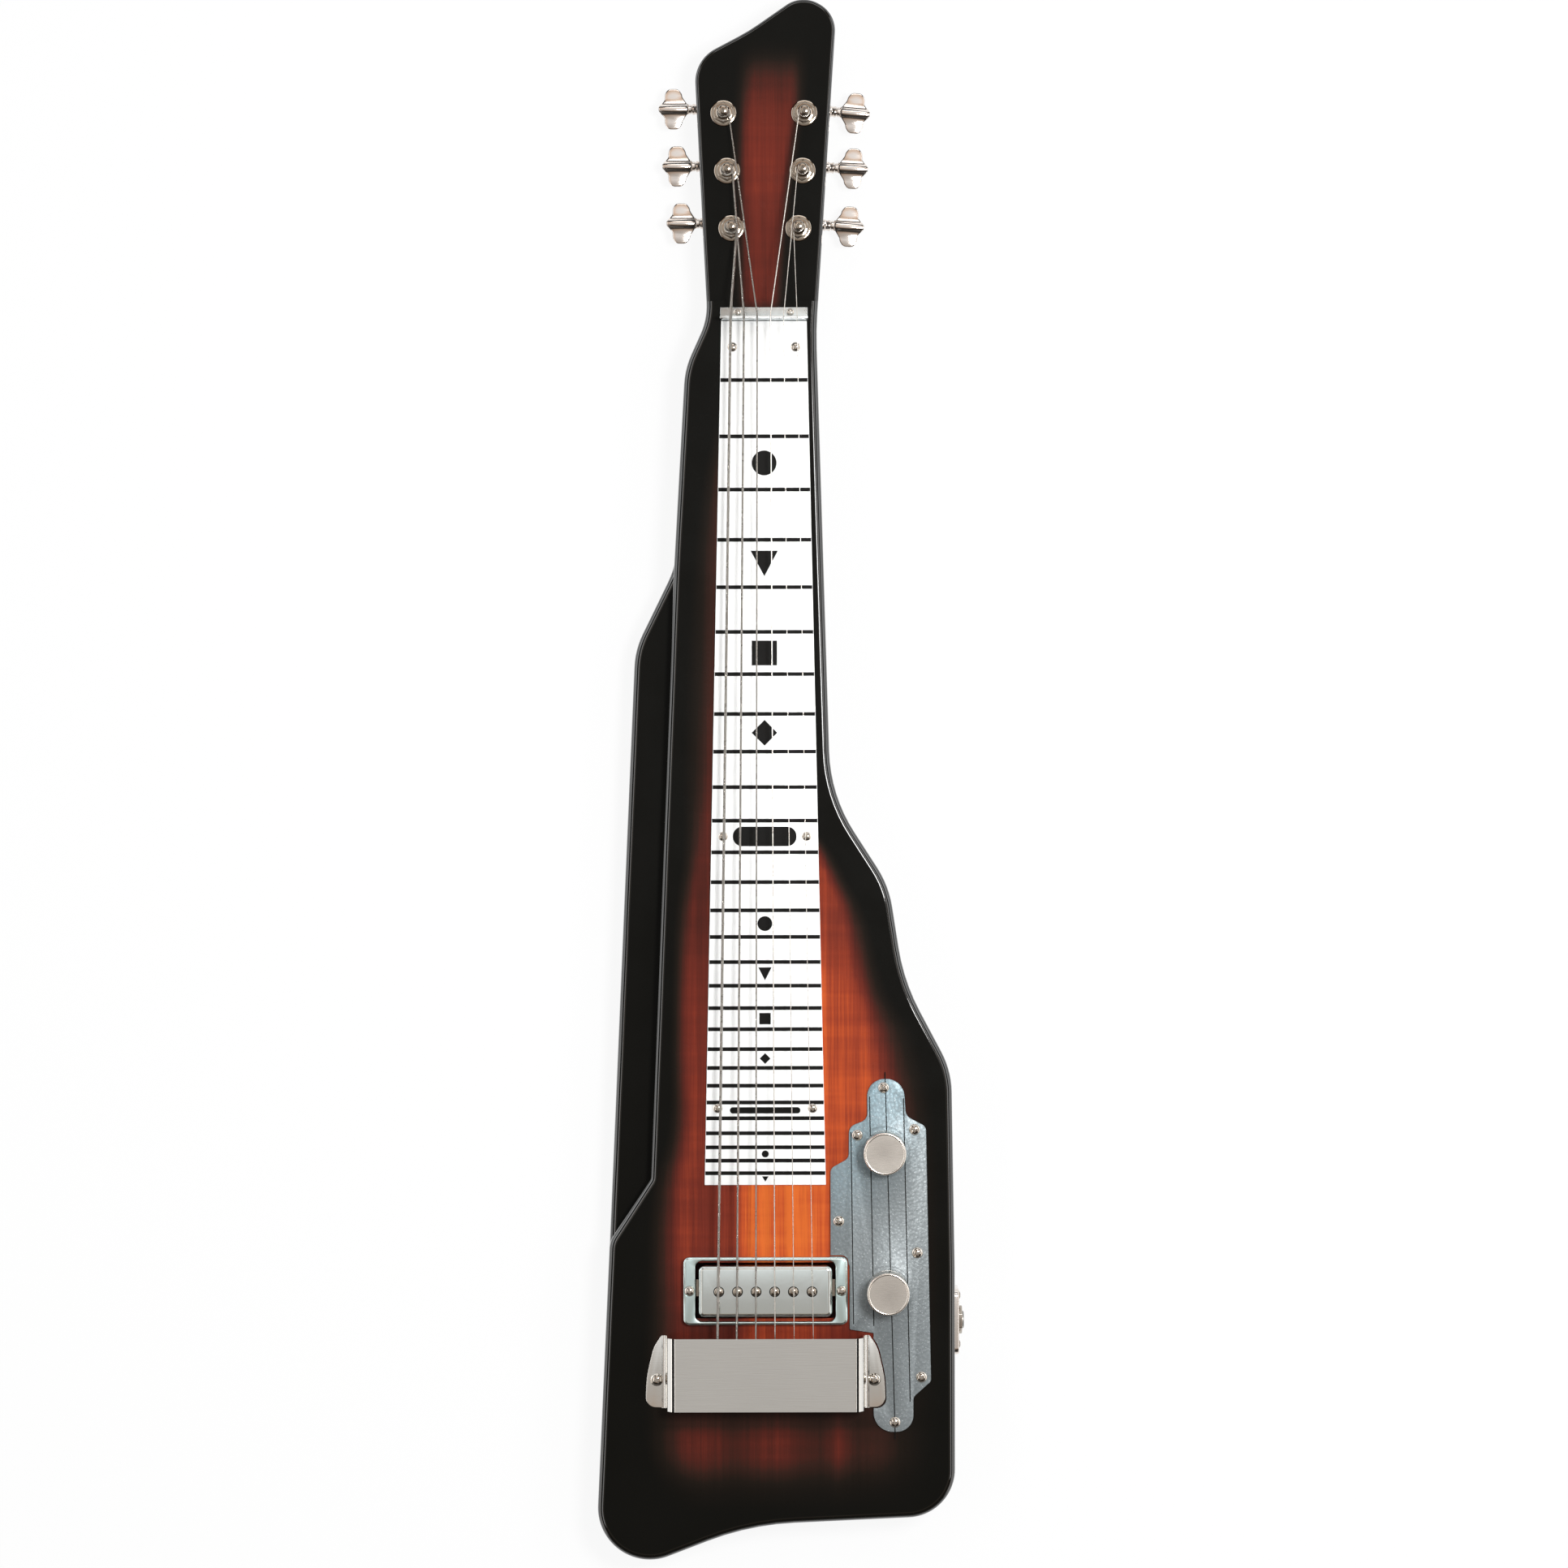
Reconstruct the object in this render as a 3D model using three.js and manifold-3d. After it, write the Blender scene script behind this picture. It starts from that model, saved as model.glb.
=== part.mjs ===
import * as THREE from 'three';
import { mergeVertices } from 'three/addons/utils/BufferGeometryUtils.js';
import Module from 'manifold-3d';

// A six-string lap steel guitar, in millimetres, +Z up.
// The origin lies on the flat back, under the middle of the saddle, and the strings run along +Y.
const wasm = await Module();
wasm.setup();

// The instrument as a whole
const scaleLength = 571.5; // from the saddle to the front of the nut
const headLength = 172.5; // from the front of the nut to the tip of the headstock
const tailLength = 94.4; // from the saddle to the lowest point of the tail
const bodyWidth = 194;
const bodyDepth = 38;
const edgeRound = 2.4;
const overrun = 3; // how far a cutter runs past the surface that it cuts
const seatGap = 0.3; // around a fixed piece in its seat
const runGap = 0.25; // around a turning piece in its bearing
const weldReach = 0.0001; // corners closer than this are one corner

// Headstock, ledge and the hollows of the body
const headDrop = 6; // how far the headstock's face lies below the top
const headDepth = 14;
const headStepReach = 10.5; // from the front of the nut to the step down to the headstock
const headLap = 4;
const ledgeDrop = 11; // how far the bass-side ledge lies below the top
const routLength = 86;
const routWidth = 30;
const routDepth = 24;
const routRound = 4;
const cavityDepth = 27;
const cavityRadius = 16;
const channelWidth = 14;
const wireHoleRadius = 4;

// Strings, from the thickest to the thinnest
const gauges = [1.42, 1.07, 0.81, 0.61, 0.43, 0.38];
const woundTurns = [1.25, 1.5, 1.75, 2, 2, 2];
const nutSpacing = 7.12;
const saddleSpacing = 10.4;
const stringGap = 0.12; // between a string and what it lies on
const turnGap = 0.5; // between one winding and the next
const ballRadius = 1.9;
const ballLength = 2.6;

// Fret plate and nut
const fretPlateNutWidth = 46;
const fretPlateEndWidth = 65.2;
const fretPlateSheet = 1.5;
const fretLineWidth = 1.6;
const engraveDepth = 0.3;
const markerSize = 13.6;
const fretScrewHole = 1.5;
const fretScrewInset = 6.3;
const nutWidth = 47;
const nutWall = 1.6;
const nutFoot = 6.9;
const nutSheet = 2;
const nutAction = 10.4; // from the top of the body to the bottom of the nut's slots
const nutLip = 1; // how far the nut stands above the bottom of its slots
const nutScrewX = 14.2;
const nutScrewHead = 2.1;

// Bridge
const saddleAction = 12; // from the top of the body to the top of the saddle bar
const saddleRadius = 3;
const saddleLength = 64;
const cheekThickness = 3;
const cheekDepth = 9;
const cheekRise = 1; // how far the cheeks stand above the saddle bar
const bridgeBaseSheet = 2.5;
const bridgeBaseFront = 7;
const lipPlace = 9.4; // from the saddle to the back of the anchor lip
const lipThickness = 2;
const lipHeight = 9.5;
const anchorHeight = 6.2; // from the top of the body to the string holes in the lip
const coverLength = 39;
const coverBack = 12.7; // from the saddle to the back edge of the cover
const coverHeight = 19;
const coverSheet = 1.2;
const coverFootWidth = 107.2;
const coverTopWidth = 100;
const coverShoulder = 5;
const flangeWidth = 2.2;
const earReach = 8.8;
const coverScrewOut = 4.9; // from the foot of the cover out to its screws
const coverScrewY = 2.5;
const coverScrewHead = 3.55;

// Pickup
const pickupPlace = 50.3; // from the saddle to the middle of the pickup
const ringLength = 88.4;
const ringWidth = 36.7;
const ringHeight = 4.5;
const ringRound = 3.5;
const ringEdge = 1.2;
const windowLength = 75.2;
const windowWidth = 32.7;
const pickupLength = 71.7;
const pickupWidth = 27.5;
const pickupRound = 3;
const pickupTaper = 1.2; // how far the cover's walls lean in at the top
const pickupRise = 7.5; // from the top of the body to the top of the pickup cover
const pickupTall = 20.5;
const pickupSheet = 0.8;
const poleSpacing = 9.98;
const poleRadius = 2.65;
const poleStand = 0.8;
const pickupBaseSheet = 1.5;
const pickupEarLength = 85;
const pickupEarWidth = 9;
const magnetWidth = 5;
const magnetHeight = 3.2;
const magnetLength = 62;
const bobbinLength = 67;
const bobbinWidth = 20;
const pickupScrewX = 40.8;
const pickupScrewHead = 2.7;

// Control plate, controls and jack
const controlGap = 2.4; // from the fret plate to the control plate
const controlTail = 25.7; // how far the control plate reaches behind the saddle
const controlLength = 189.6;
const controlWidth = 54;
const controlSheet = 1.5;
const controlClear = 0.5; // between the control plate and what it is cut around
const controlLineWidth = 0.5;
const controlScrewHole = 1.5;
const potRadius = 12;
const potDepth = 9;
const potBush = 4.6;
const potBushRise = 4;
const potBoreDepth = 7;
const potNutAcross = 12;
const potNutHeight = 2.2;
const potShaftRadius = 3;
const potShaftRise = 14.6; // from the control plate to the top of the shaft
const lugLength = 6;
const lugWidth = 2.4;
const lugSheet = 0.8;
const lugSpacing = 5;
const knobFit = 0.1;
const knobRadius = 11.5;
const knobHeight = 16;
const knobLift = 0.8;
const knobBevel = 1.3;
const knobRecessRadius = 8;
const knobRecessDepth = 4.4;
const jackPlace = 32.3; // from the saddle along the side
const jackPlateLength = 35.2;
const jackPlateTall = 27;
const jackPlateSheet = 2.4;
const jackPlateRound = 4;
const jackBush = 4.7;
const jackBore = 3.5;
const jackBushReach = 2.9;
const jackBarrelRadius = 7;
const jackBarrelLength = 23;
const jackEndWall = 1.5;
const jackNutAcross = 13.4;
const jackNutSheet = 2;
const jackScrewHole = 1.4;
const jackScrewPlace = 13.2;

// Machine heads: a worm on the button's shaft turns a wheel on the string post
const wheelTeeth = 14;
const gearModule = 0.45;
const wormPitchRadius = 1.75;
const wheelThickness = 2;
const housingDepth = 11;
const housingInner = 6.2;
const housingOuter = 9.4;
const housingSide = 5.6;
const housingRound = 2.5;
const housingEdge = 1;
const collarRadius = 3.1;
const collarReach = 17.2;
const shaftRadius = 1.6;
const pivotRadius = 1.2;
const pivotLength = 1.8;
const neckRadius = 2.2;
const buttonStart = 19.6; // from the post's axis to the button
const buttonLength = 15.7;
const buttonWidth = 21.8;
const buttonSheet = 2.2;
const buttonRib = 2.6;
const buttonEdge = 0.5;
const postRadius = 3;
const postFoot = 1.5;
const windRadius = 2.3;
const windHeight = 8.2;
const windLift = 1.3; // from the bushing to the middle of the lowest winding
const capRadius = 2.9;
const capHeight = 2.6;
const bushRadius = 4.6;
const washerRadius = 7.15;
const washerSheet = 1.2;
const bushNutAcross = 10;
const bushNutHeight = 2.4;

// Levels and places that follow from the sizes above
const topZ = bodyDepth;
const ledgeZ = topZ - ledgeDrop;
const headTopZ = topZ - headDrop;
const headUnderZ = headTopZ - headDepth;
const headStepY = scaleLength + headStepReach;
const headTipY = scaleLength + headLength;
const fretTopZ = topZ + fretPlateSheet;
const controlX = fretPlateEndWidth / 2 + controlGap;
const controlTopZ = topZ + controlSheet;
const coverFootZ = topZ + coverSheet;
const coverScrewX = coverFootWidth / 2 + coverScrewOut;
const ringTopZ = topZ + ringHeight;
const gearPitch = Math.PI * gearModule;
const wheelPitchRadius = (wheelTeeth * gearModule) / 2;
const gearDistance = wheelPitchRadius + wormPitchRadius;
const toothRise = 0.8 * gearModule;
const toothDrop = 1.1 * gearModule;
const shaftZ = -housingDepth / 2; // below the underside of the headstock
const bushTop = headDepth + washerSheet + bushNutHeight; // above the underside of the headstock

// Tables of shares: [across the body's width, station along it, rounding over the body's width].
// A station counts from -1 at the tail through 0 at the saddle and 1 at the nut to 2 at the head's tip.
const outlineShares = [
  [0.5253, -0.7553, 0.134],
  [0.5253, 0.1085, 1.5],
  [0.517, 0.294, 0.247],
  [0.3856, 0.3781, 0.567],
  [0.3443, 0.4682, 0.2835],
  [0.183, 0.5535, 0.438],
  [0.1454, 0.9904, 1.03],
  [0.2021, 1.9646, 0.0871],
  [0.1062, 2.0249, 0.0871],
  [-0.0423, 1.909, 0.5155],
  [-0.1933, 1.8194, 0.1031],
  [-0.1572, 1.0075, 0.1856],
  [-0.2196, 0.9554, 0.237],
  [-0.2464, 0.7708, 0.258],
  [-0.3608, 0.6913, 0.232],
  [-0.4763, -1.1483, 0.144],
  [-0.0454, -0.8093, 0.773],
];
const shoulderCount = 13; // corners that the raised top shares with the whole outline, before the ledge
const tailCount = 2; // and after it
const stepTopShares = [-0.251, 0.7647, 0.206];
const stepEndShares = [-0.3191, 0.1928, 0.0206];
const stepFootShare = 0.633; // along the side from the ledge's corner to the tail
const stepFootRoundShare = 0.0722;

// Post of each string: [across the body's width, station], and how far its machine head is turned
const postShares = [
  [-0.0902, 1.2918],
  [-0.1018, 1.4713],
  [-0.1119, 1.651],
  [0.1129, 1.651],
  [0.1077, 1.4713],
  [0.0959, 1.2918],
];
const postTurns = [0, 0, 0, -5, -3, -4];

// Fret markers: [fret, form, width, height], sizes over the marker size
const markerShares = [
  [3, 'disc', 0.98, 0.98],
  [5, 'triangle', 1.08, 1.01],
  [7, 'square', 1, 0.98],
  [9, 'diamond', 1.02, 1.02],
  [12, 'pill', 2.52, 0.77],
  [15, 'disc', 0.585, 0.585],
  [17, 'triangle', 0.525, 0.515],
  [19, 'square', 0.45, 0.45],
  [21, 'diamond', 0.425, 0.425],
  [24, 'pill', 2.79, 0.247],
  [27, 'disc', 0.275, 0.275],
  [29, 'triangle', 0.257, 0.213],
];
const lastFret = 28;
const fretScrewShares = [0.975, 0.515, 0.2593]; // stations of the three pairs of screws

// Control plate: [across, along, rounding over its width], from the left of the lower tab
const controlShares = [
  [0.426, 0, 0.198],
  [0.822, 0, 0.198],
  [0.822, 0.0986, 0.074],
  [0.998, 0.1429, 0.046],
  [0.952, 0.865, 0.074],
  [0.752, 0.895, 0.093],
  [0.7278, 1, 0.1815],
  [0.3648, 1, 0.1815],
  [0.3685, 0.8855, 0.093],
  [0.185, 0.8644, 0.093],
  [0.1815, 0.7753, 0.074],
  [0, 0.7463, 0.074],
  [0, 0.473, 0],
  [0.189, 0.473, 0],
  [0.189, 0.29, 0.02],
  [0.426, 0.28, 0],
];
const controlScrewShares = [
  [0.53, 0.9752],
  [0.837, 0.8565],
  [0.2685, 0.8407],
  [0.0833, 0.597],
  [0.863, 0.5074],
  [0.9037, 0.1551],
  [0.639, 0.0274],
];
const controlLineShares = [
  [0.205, 0.85, 0.228, 0.305],
  [0.39, 0.95, 0.43, 0.3],
  [0.5444, 1.02, 0.6407, -0.02],
  [0.728, 0.945, 0.79, 0.085],
];
const volumeShares = [0.537, 0.7938];
const toneShares = [0.5685, 0.3987];

// Ear of the bridge cover: [out from the flange, along the cover, rounding over the reach]
const earShares = [
  [1, 0.01, 0.62],
  [0.93, 0.43, 5.6],
  [0.5, 0.84, 2.3],
  [0.02, 0.998, 0.1],
];

// Half of a button: [along, across half its width, rounding over its length], shaft end first
const buttonShares = [
  [0, 0.24, 0.03],
  [0.14, 0.42, 0.3],
  [0.2, 1, 0.3],
  [0.8, 1, 0.3],
  [0.82, 0.42, 0.12],
  [1.01, 0.12, 0.08],
];

// Turns that each facet of a bend may take
const bodyBend = THREE.MathUtils.degToRad(19);
const sheetBend = THREE.MathUtils.degToRad(30);
const buttonBend = THREE.MathUtils.degToRad(45);
const rodSides = 8;
const boreSides = 12;
const manySides = 16;
const knobSides = 24;
const roundSteps = 2; // facets of a rounded edge

// Points of a circle, counted from its first corner
function circle(x, y, radius, sides) {
  return Array.from({ length: sides }, (_, k) => {
    const angle = (2 * Math.PI * (k + 0.5)) / sides;
    return new THREE.Vector2(x + radius * Math.cos(angle), y + radius * Math.sin(angle));
  });
}

// A hexagon by its size across the flats
function hexagon(x, y, across) {
  return circle(x, y, across / 2 / Math.cos(Math.PI / 6), 6);
}

// A closed outline through corners [x, y, radius], each rounded by an arc
function rounded(corners, bend) {
  const points = [];
  corners.forEach(([x, y, radius], k) => {
    const at = new THREE.Vector2(x, y);
    if (radius === 0) {
      points.push(at);
      return;
    }
    const [beforeX, beforeY] = corners[(k + corners.length - 1) % corners.length];
    const [afterX, afterY] = corners[(k + 1) % corners.length];
    const back = new THREE.Vector2(beforeX - x, beforeY - y);
    const on = new THREE.Vector2(afterX - x, afterY - y);
    const room = 0.48 * Math.min(back.length(), on.length());
    back.normalize();
    on.normalize();
    const turn = Math.PI - Math.acos(THREE.MathUtils.clamp(back.dot(on), -1, 1));
    const side = Math.sign(-back.x * on.y + back.y * on.x);
    const reach = Math.min(radius * Math.tan(turn / 2), room);
    const arm = reach / Math.tan(turn / 2);
    const start = at.clone().addScaledVector(back, reach);
    const centre = new THREE.Vector2(back.y, -back.x).multiplyScalar(side * arm).add(start);
    const steps = Math.max(1, Math.ceil(turn / bend));
    for (let step = 0; step <= steps; step++) {
      points.push(start.clone().rotateAround(centre, (side * turn * step) / steps));
    }
  });
  return points;
}

function rectangle(x, y, length, width, radius, bend = sheetBend) {
  const corners = [[1, -1], [1, 1], [-1, 1], [-1, -1]];
  return rounded(corners.map(([h, v]) => [x + (h * length) / 2, y + (v * width) / 2, radius]), bend);
}

// The outline moved inwards everywhere by one distance, or outwards if it is negative
function inset(outline, distance) {
  return outline.map((at, k) => {
    const before = outline[(k + outline.length - 1) % outline.length];
    const after = outline[(k + 1) % outline.length];
    const first = new THREE.Vector2(before.y - at.y, at.x - before.x).normalize();
    const second = new THREE.Vector2(at.y - after.y, after.x - at.x).normalize();
    const miter = first.clone().add(second).divideScalar(1 + first.dot(second));
    return at.clone().addScaledVector(miter, distance);
  });
}

// A closed skin through equal rings of points, capped with the given faces of its first and last ring
function skin(rings, firstCap, lastCap) {
  const count = rings[0].length;
  const index = [];
  for (let ring = 0; ring + 1 < rings.length; ring++) {
    for (let k = 0; k < count; k++) {
      const low = ring * count + k;
      const next = ring * count + ((k + 1) % count);
      index.push(low, next, low + count, next, next + count, low + count);
    }
  }
  const top = (rings.length - 1) * count;
  firstCap.forEach(([a, b, c]) => index.push(a, c, b));
  lastCap.forEach(([a, b, c]) => index.push(top + a, top + b, top + c));
  const geometry = new THREE.BufferGeometry();
  const position = rings.flat().flatMap((point) => [point.x, point.y, point.z]);
  geometry.setAttribute('position', new THREE.Float32BufferAttribute(position, 3));
  geometry.setIndex(index);
  return geometry;
}

function fan(count) {
  return Array.from({ length: count - 2 }, (_, k) => [0, k + 1, k + 2]);
}

// An upright block: the outline at several levels [height, inset], from low to high
function block(outline, levels) {
  const outlines = levels.map(([, distance]) => inset(outline, distance));
  const rings = outlines.map((ring, k) => ring.map((at) => new THREE.Vector3(at.x, at.y, levels[k][0])));
  const cap = (ring) => THREE.ShapeUtils.triangulateShape(ring, []);
  return skin(rings, cap(outlines[0]), cap(outlines[outlines.length - 1]));
}

function slab(outline, low, high) {
  return block(outline, [[low, 0], [high, 0]]);
}

// Levels of an upright block with rounded edges
function roundedLevels(low, high, lowRound, highRound) {
  const steps = roundSteps;
  const levels = [];
  for (let step = 0; step <= (lowRound > 0 ? steps : 0); step++) {
    const angle = (Math.PI * step) / 2 / steps;
    levels.push([low + lowRound * (1 - Math.cos(angle)), lowRound * (1 - Math.sin(angle))]);
  }
  for (let step = highRound > 0 ? 0 : steps; step <= steps; step++) {
    const angle = (Math.PI * step) / 2 / steps;
    levels.push([high - highRound * (1 - Math.sin(angle)), highRound * (1 - Math.cos(angle))]);
  }
  return levels;
}

// A profile [y, z] carried along X, or [x, z] carried along Y
function alongX(profile, low, high) {
  const rings = [low, high].map((x) => profile.map((at) => new THREE.Vector3(x, at.x, at.y)));
  const cap = THREE.ShapeUtils.triangulateShape(profile, []);
  return skin(rings, cap, cap);
}

function alongY(profile, low, high) {
  const rings = [high, low].map((y) => profile.map((at) => new THREE.Vector3(at.x, y, at.y)));
  const cap = THREE.ShapeUtils.triangulateShape(profile, []);
  return skin(rings, cap, cap);
}

// A turned piece about Z, from a profile of [radius, height]
function turned(profile, sides) {
  const points = profile.map(([radius, height]) => new THREE.Vector2(radius, height));
  return new THREE.LatheGeometry(points, sides, Math.PI / sides).rotateX(Math.PI / 2);
}

// A tube of six sides along points, with a radius at each
function tube(points, radii) {
  const sides = 6;
  const tangents = points.map((_, k) => {
    const after = points[Math.min(k + 1, points.length - 1)];
    const before = points[Math.max(k - 1, 0)];
    return after.clone().sub(before).normalize();
  });
  let across = new THREE.Vector3(1, 0, 0);
  const rings = points.map((point, k) => {
    across = across.addScaledVector(tangents[k], -across.dot(tangents[k])).normalize();
    const other = tangents[k].clone().cross(across);
    return Array.from({ length: sides }, (_, side) => {
      const angle = (2 * Math.PI * side) / sides;
      return point.clone()
        .addScaledVector(across, radii[k] * Math.cos(angle))
        .addScaledVector(other, radii[k] * Math.sin(angle));
    });
  });
  return skin(rings, fan(sides), fan(sides));
}

// Solids for joins and cuts
function solid(geometry) {
  const bare = new THREE.BufferGeometry();
  bare.setAttribute('position', geometry.getAttribute('position'));
  bare.setIndex(geometry.getIndex());
  const merged = mergeVertices(bare, weldReach);
  const corners = merged.getIndex().array;
  const kept = [];
  for (let k = 0; k < corners.length; k += 3) {
    const [a, b, c] = [corners[k], corners[k + 1], corners[k + 2]];
    if (a !== b && b !== c && c !== a) kept.push(a, b, c);
  }
  const vertProperties = merged.getAttribute('position').array;
  return new wasm.Manifold(new wasm.Mesh({ numProp: 3, vertProperties, triVerts: new Uint32Array(kept) }));
}

function joined(...geometries) {
  return geometries.map(solid).reduce((whole, next) => whole.add(next));
}

function cut(whole, ...geometries) {
  return geometries.map(solid).reduce((left, next) => left.subtract(next), whole);
}

function surface(whole) {
  const mesh = whole.getMesh();
  const geometry = new THREE.BufferGeometry();
  geometry.setAttribute('position', new THREE.Float32BufferAttribute(mesh.vertProperties, 3));
  geometry.setIndex(Array.from(mesh.triVerts));
  return geometry;
}

// The same form on the other side of the X = 0 plane
function mirrored(geometry) {
  const other = geometry.clone().scale(-1, 1, 1);
  const corners = Array.from(other.getIndex().array);
  for (let k = 0; k < corners.length; k += 3) {
    [corners[k], corners[k + 1]] = [corners[k + 1], corners[k]];
  }
  other.setIndex(corners);
  return other;
}

// Finishes
function finish(color, roughness, metalness) {
  return new THREE.MeshStandardMaterial({ color, roughness, metalness, flatShading: true });
}
const sunburst = finish(0x4a1c12, 0.25, 0);
const whitePlate = finish(0xf2f2ef, 0.45, 0);
const nickel = finish(0xb9b2ab, 0.25, 1);
const chrome = finish(0xcfd2d4, 0.12, 1);
const aluminium = finish(0xc3cdd2, 0.4, 1);
const hammertone = finish(0x73879a, 0.45, 0.4);
const ringMetal = finish(0x96a5a5, 0.3, 0.8);
const steel = finish(0x9a9a98, 0.35, 1);
const blackPlastic = finish(0x161616, 0.5, 0);
const zincPlate = finish(0xa8a69c, 0.45, 1);
const magnetGrey = finish(0x4c4c4e, 0.6, 0.6);

const guitar = new THREE.Group();

function addPiece(name, shape, material, parent = guitar) {
  const geometry = shape.isBufferGeometry ? shape : surface(shape);
  geometry.computeVertexNormals();
  const mesh = new THREE.Mesh(geometry, material);
  mesh.name = name;
  parent.add(mesh);
  return mesh;
}

function addPlace(x, y, z, turn = 0) {
  const place = new THREE.Group();
  place.position.set(x, y, z);
  place.rotation.z = turn;
  guitar.add(place);
  return place;
}

// Places that several pieces share
function stationY(station) {
  if (station < 0) return station * tailLength;
  if (station > 1) return scaleLength + (station - 1) * headLength;
  return station * scaleLength;
}

function bodyCorner([across, station, round]) {
  return [across * bodyWidth, stationY(station), round * bodyWidth];
}

function controlPoint([across, along]) {
  return new THREE.Vector2(controlX + across * controlWidth, along * controlLength - controlTail);
}

const wallX = outlineShares[0][0] * bodyWidth;
const jackZ = bodyDepth / 2;
const stringNumbers = gauges.map((_, k) => k);
const stringOffset = (k) => k - (gauges.length - 1) / 2;
const postPlace = (k) => new THREE.Vector2(postShares[k][0] * bodyWidth, stationY(postShares[k][1]));
const postSide = (k) => Math.sign(postShares[k][0]);
const fretPlace = (fret) => scaleLength / 2 ** (fret / 12);
const volumePlace = controlPoint(volumeShares);
const tonePlace = controlPoint(toneShares);
const jackBoreEnd = Math.min(tonePlace.x, wallX - jackBarrelLength - seatGap);

// Outlines that neighbours are cut around
function coverFootOutline(grow, side) {
  const flangeX = coverFootWidth / 2 + flangeWidth;
  const inner = coverFootWidth / 2 - coverSheet;
  const corners = earShares.map(([out, along, round]) => {
    return [flangeX + out * earReach, along * coverLength - coverBack, round * earReach];
  });
  const all = [[inner, -coverBack, 0], ...corners, [inner, coverLength - coverBack, 0]];
  const outline = inset(rounded(all, sheetBend), -grow);
  return side > 0 ? outline : outline.map((at) => new THREE.Vector2(-at.x, at.y)).reverse();
}

function ringOutline(grow) {
  return rectangle(0, pickupPlace, ringLength + 2 * grow, ringWidth + 2 * grow, ringRound + grow);
}

// Body and headstock, from one slab with a lower ledge on the bass side
function makeBody() {
  const corners = outlineShares.map(bodyCorner);
  const ledgeCorner = new THREE.Vector2(...corners[shoulderCount + 1]);
  const tailCorner = new THREE.Vector2(...corners[shoulderCount + 2]);
  const foot = ledgeCorner.lerp(tailCorner, stepFootShare);
  const raisedCorners = [
    ...corners.slice(0, shoulderCount),
    bodyCorner(stepTopShares),
    bodyCorner(stepEndShares),
    [foot.x, foot.y, stepFootRoundShare * bodyWidth],
    ...corners.slice(corners.length - tailCount),
  ];
  const whole = rounded(corners, bodyBend);
  const raised = rounded(raisedCorners, bodyBend);
  const lower = block(whole, roundedLevels(0, ledgeZ, edgeRound, edgeRound));
  const upper = block(raised, roundedLevels(ledgeZ - 2 * edgeRound, topZ, 0, edgeRound));

  const heel = [];
  const heelSteps = 6;
  for (let step = 0; step <= heelSteps; step++) {
    const angle = (Math.PI / 2) * (1 + step / heelSteps);
    heel.push(new THREE.Vector2(headStepY + headUnderZ * Math.cos(angle), headUnderZ * Math.sin(angle)));
  }
  const farY = headTipY + overrun;
  const endCut = alongX([
    new THREE.Vector2(headStepY - headUnderZ, -overrun),
    new THREE.Vector2(farY, -overrun),
    new THREE.Vector2(farY, topZ + overrun),
    new THREE.Vector2(headStepY, topZ + overrun),
    ...heel,
  ], -bodyWidth, bodyWidth);
  const headSlab = block(whole, roundedLevels(headUnderZ, headTopZ, edgeRound, edgeRound));
  const headSpan = farY - headStepY + headLap;
  const headBox = slab(
    rectangle(0, headStepY - headLap + headSpan / 2, 2 * bodyWidth, headSpan, 0),
    headUnderZ - overrun,
    headTopZ + overrun,
  );
  const head = solid(headSlab).intersect(solid(headBox));

  let body = cut(joined(lower, upper), endCut).add(head);
  body = cut(body, slab(rectangle(0, pickupPlace, routLength, routWidth, routRound),
    topZ - routDepth, topZ + overrun));
  const cavityLow = topZ - cavityDepth;
  const channelLength = volumePlace.distanceTo(tonePlace);
  const channelMiddle = volumePlace.clone().lerp(tonePlace, 0.5);
  const channel = rectangle(channelMiddle.x, channelMiddle.y, channelWidth, channelLength, 0);
  body = cut(
    body,
    slab(circle(volumePlace.x, volumePlace.y, cavityRadius, manySides), cavityLow, topZ + overrun),
    slab(circle(tonePlace.x, tonePlace.y, cavityRadius, manySides), cavityLow, topZ + overrun),
    slab(channel, cavityLow, topZ + overrun),
    alongX(circle(tonePlace.y, topZ - routDepth / 2, wireHoleRadius, rodSides), 0, tonePlace.x),
    alongX(circle(jackPlace, jackZ, jackBarrelRadius + seatGap, manySides), jackBoreEnd, wallX + overrun),
  );
  stringNumbers.forEach((k) => {
    const { x, y } = postPlace(k);
    const hole = circle(x, y, bushRadius + seatGap, boreSides);
    body = cut(body, slab(hole, headUnderZ - overrun, headTopZ + overrun));
  });
  [-1, 1].forEach((side) => {
    body = cut(
      body,
      screwHole(side * nutScrewX, nutScrewPlace(), nutScrewHead, topZ),
      screwHole(side * coverScrewX, coverScrewY, coverScrewHead, topZ),
    );
  });
  addPiece('body', body, sunburst);
}

// Screws: a domed head, and a shank whose length and thickness follow the head's radius
const shankShare = 0.5;
const shankLengthShare = 4;
const domeShare = 0.62;

function screw(head, sheet) {
  const shank = shankShare * head;
  const length = shankLengthShare * head + sheet;
  const dome = domeShare * head;
  return turned([
    [0, -length],
    [shank, shank - length],
    [shank, 0],
    [head, 0],
    [0.7 * head, 0.8 * dome],
    [0, dome],
  ], rodSides);
}

function screwHole(x, y, head, high) {
  const radius = shankShare * head + seatGap;
  return slab(circle(x, y, radius, rodSides), high - shankLengthShare * head - seatGap, high + overrun);
}

function nutScrewPlace() {
  return scaleLength + (nutWall + nutFoot) / 2;
}

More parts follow.
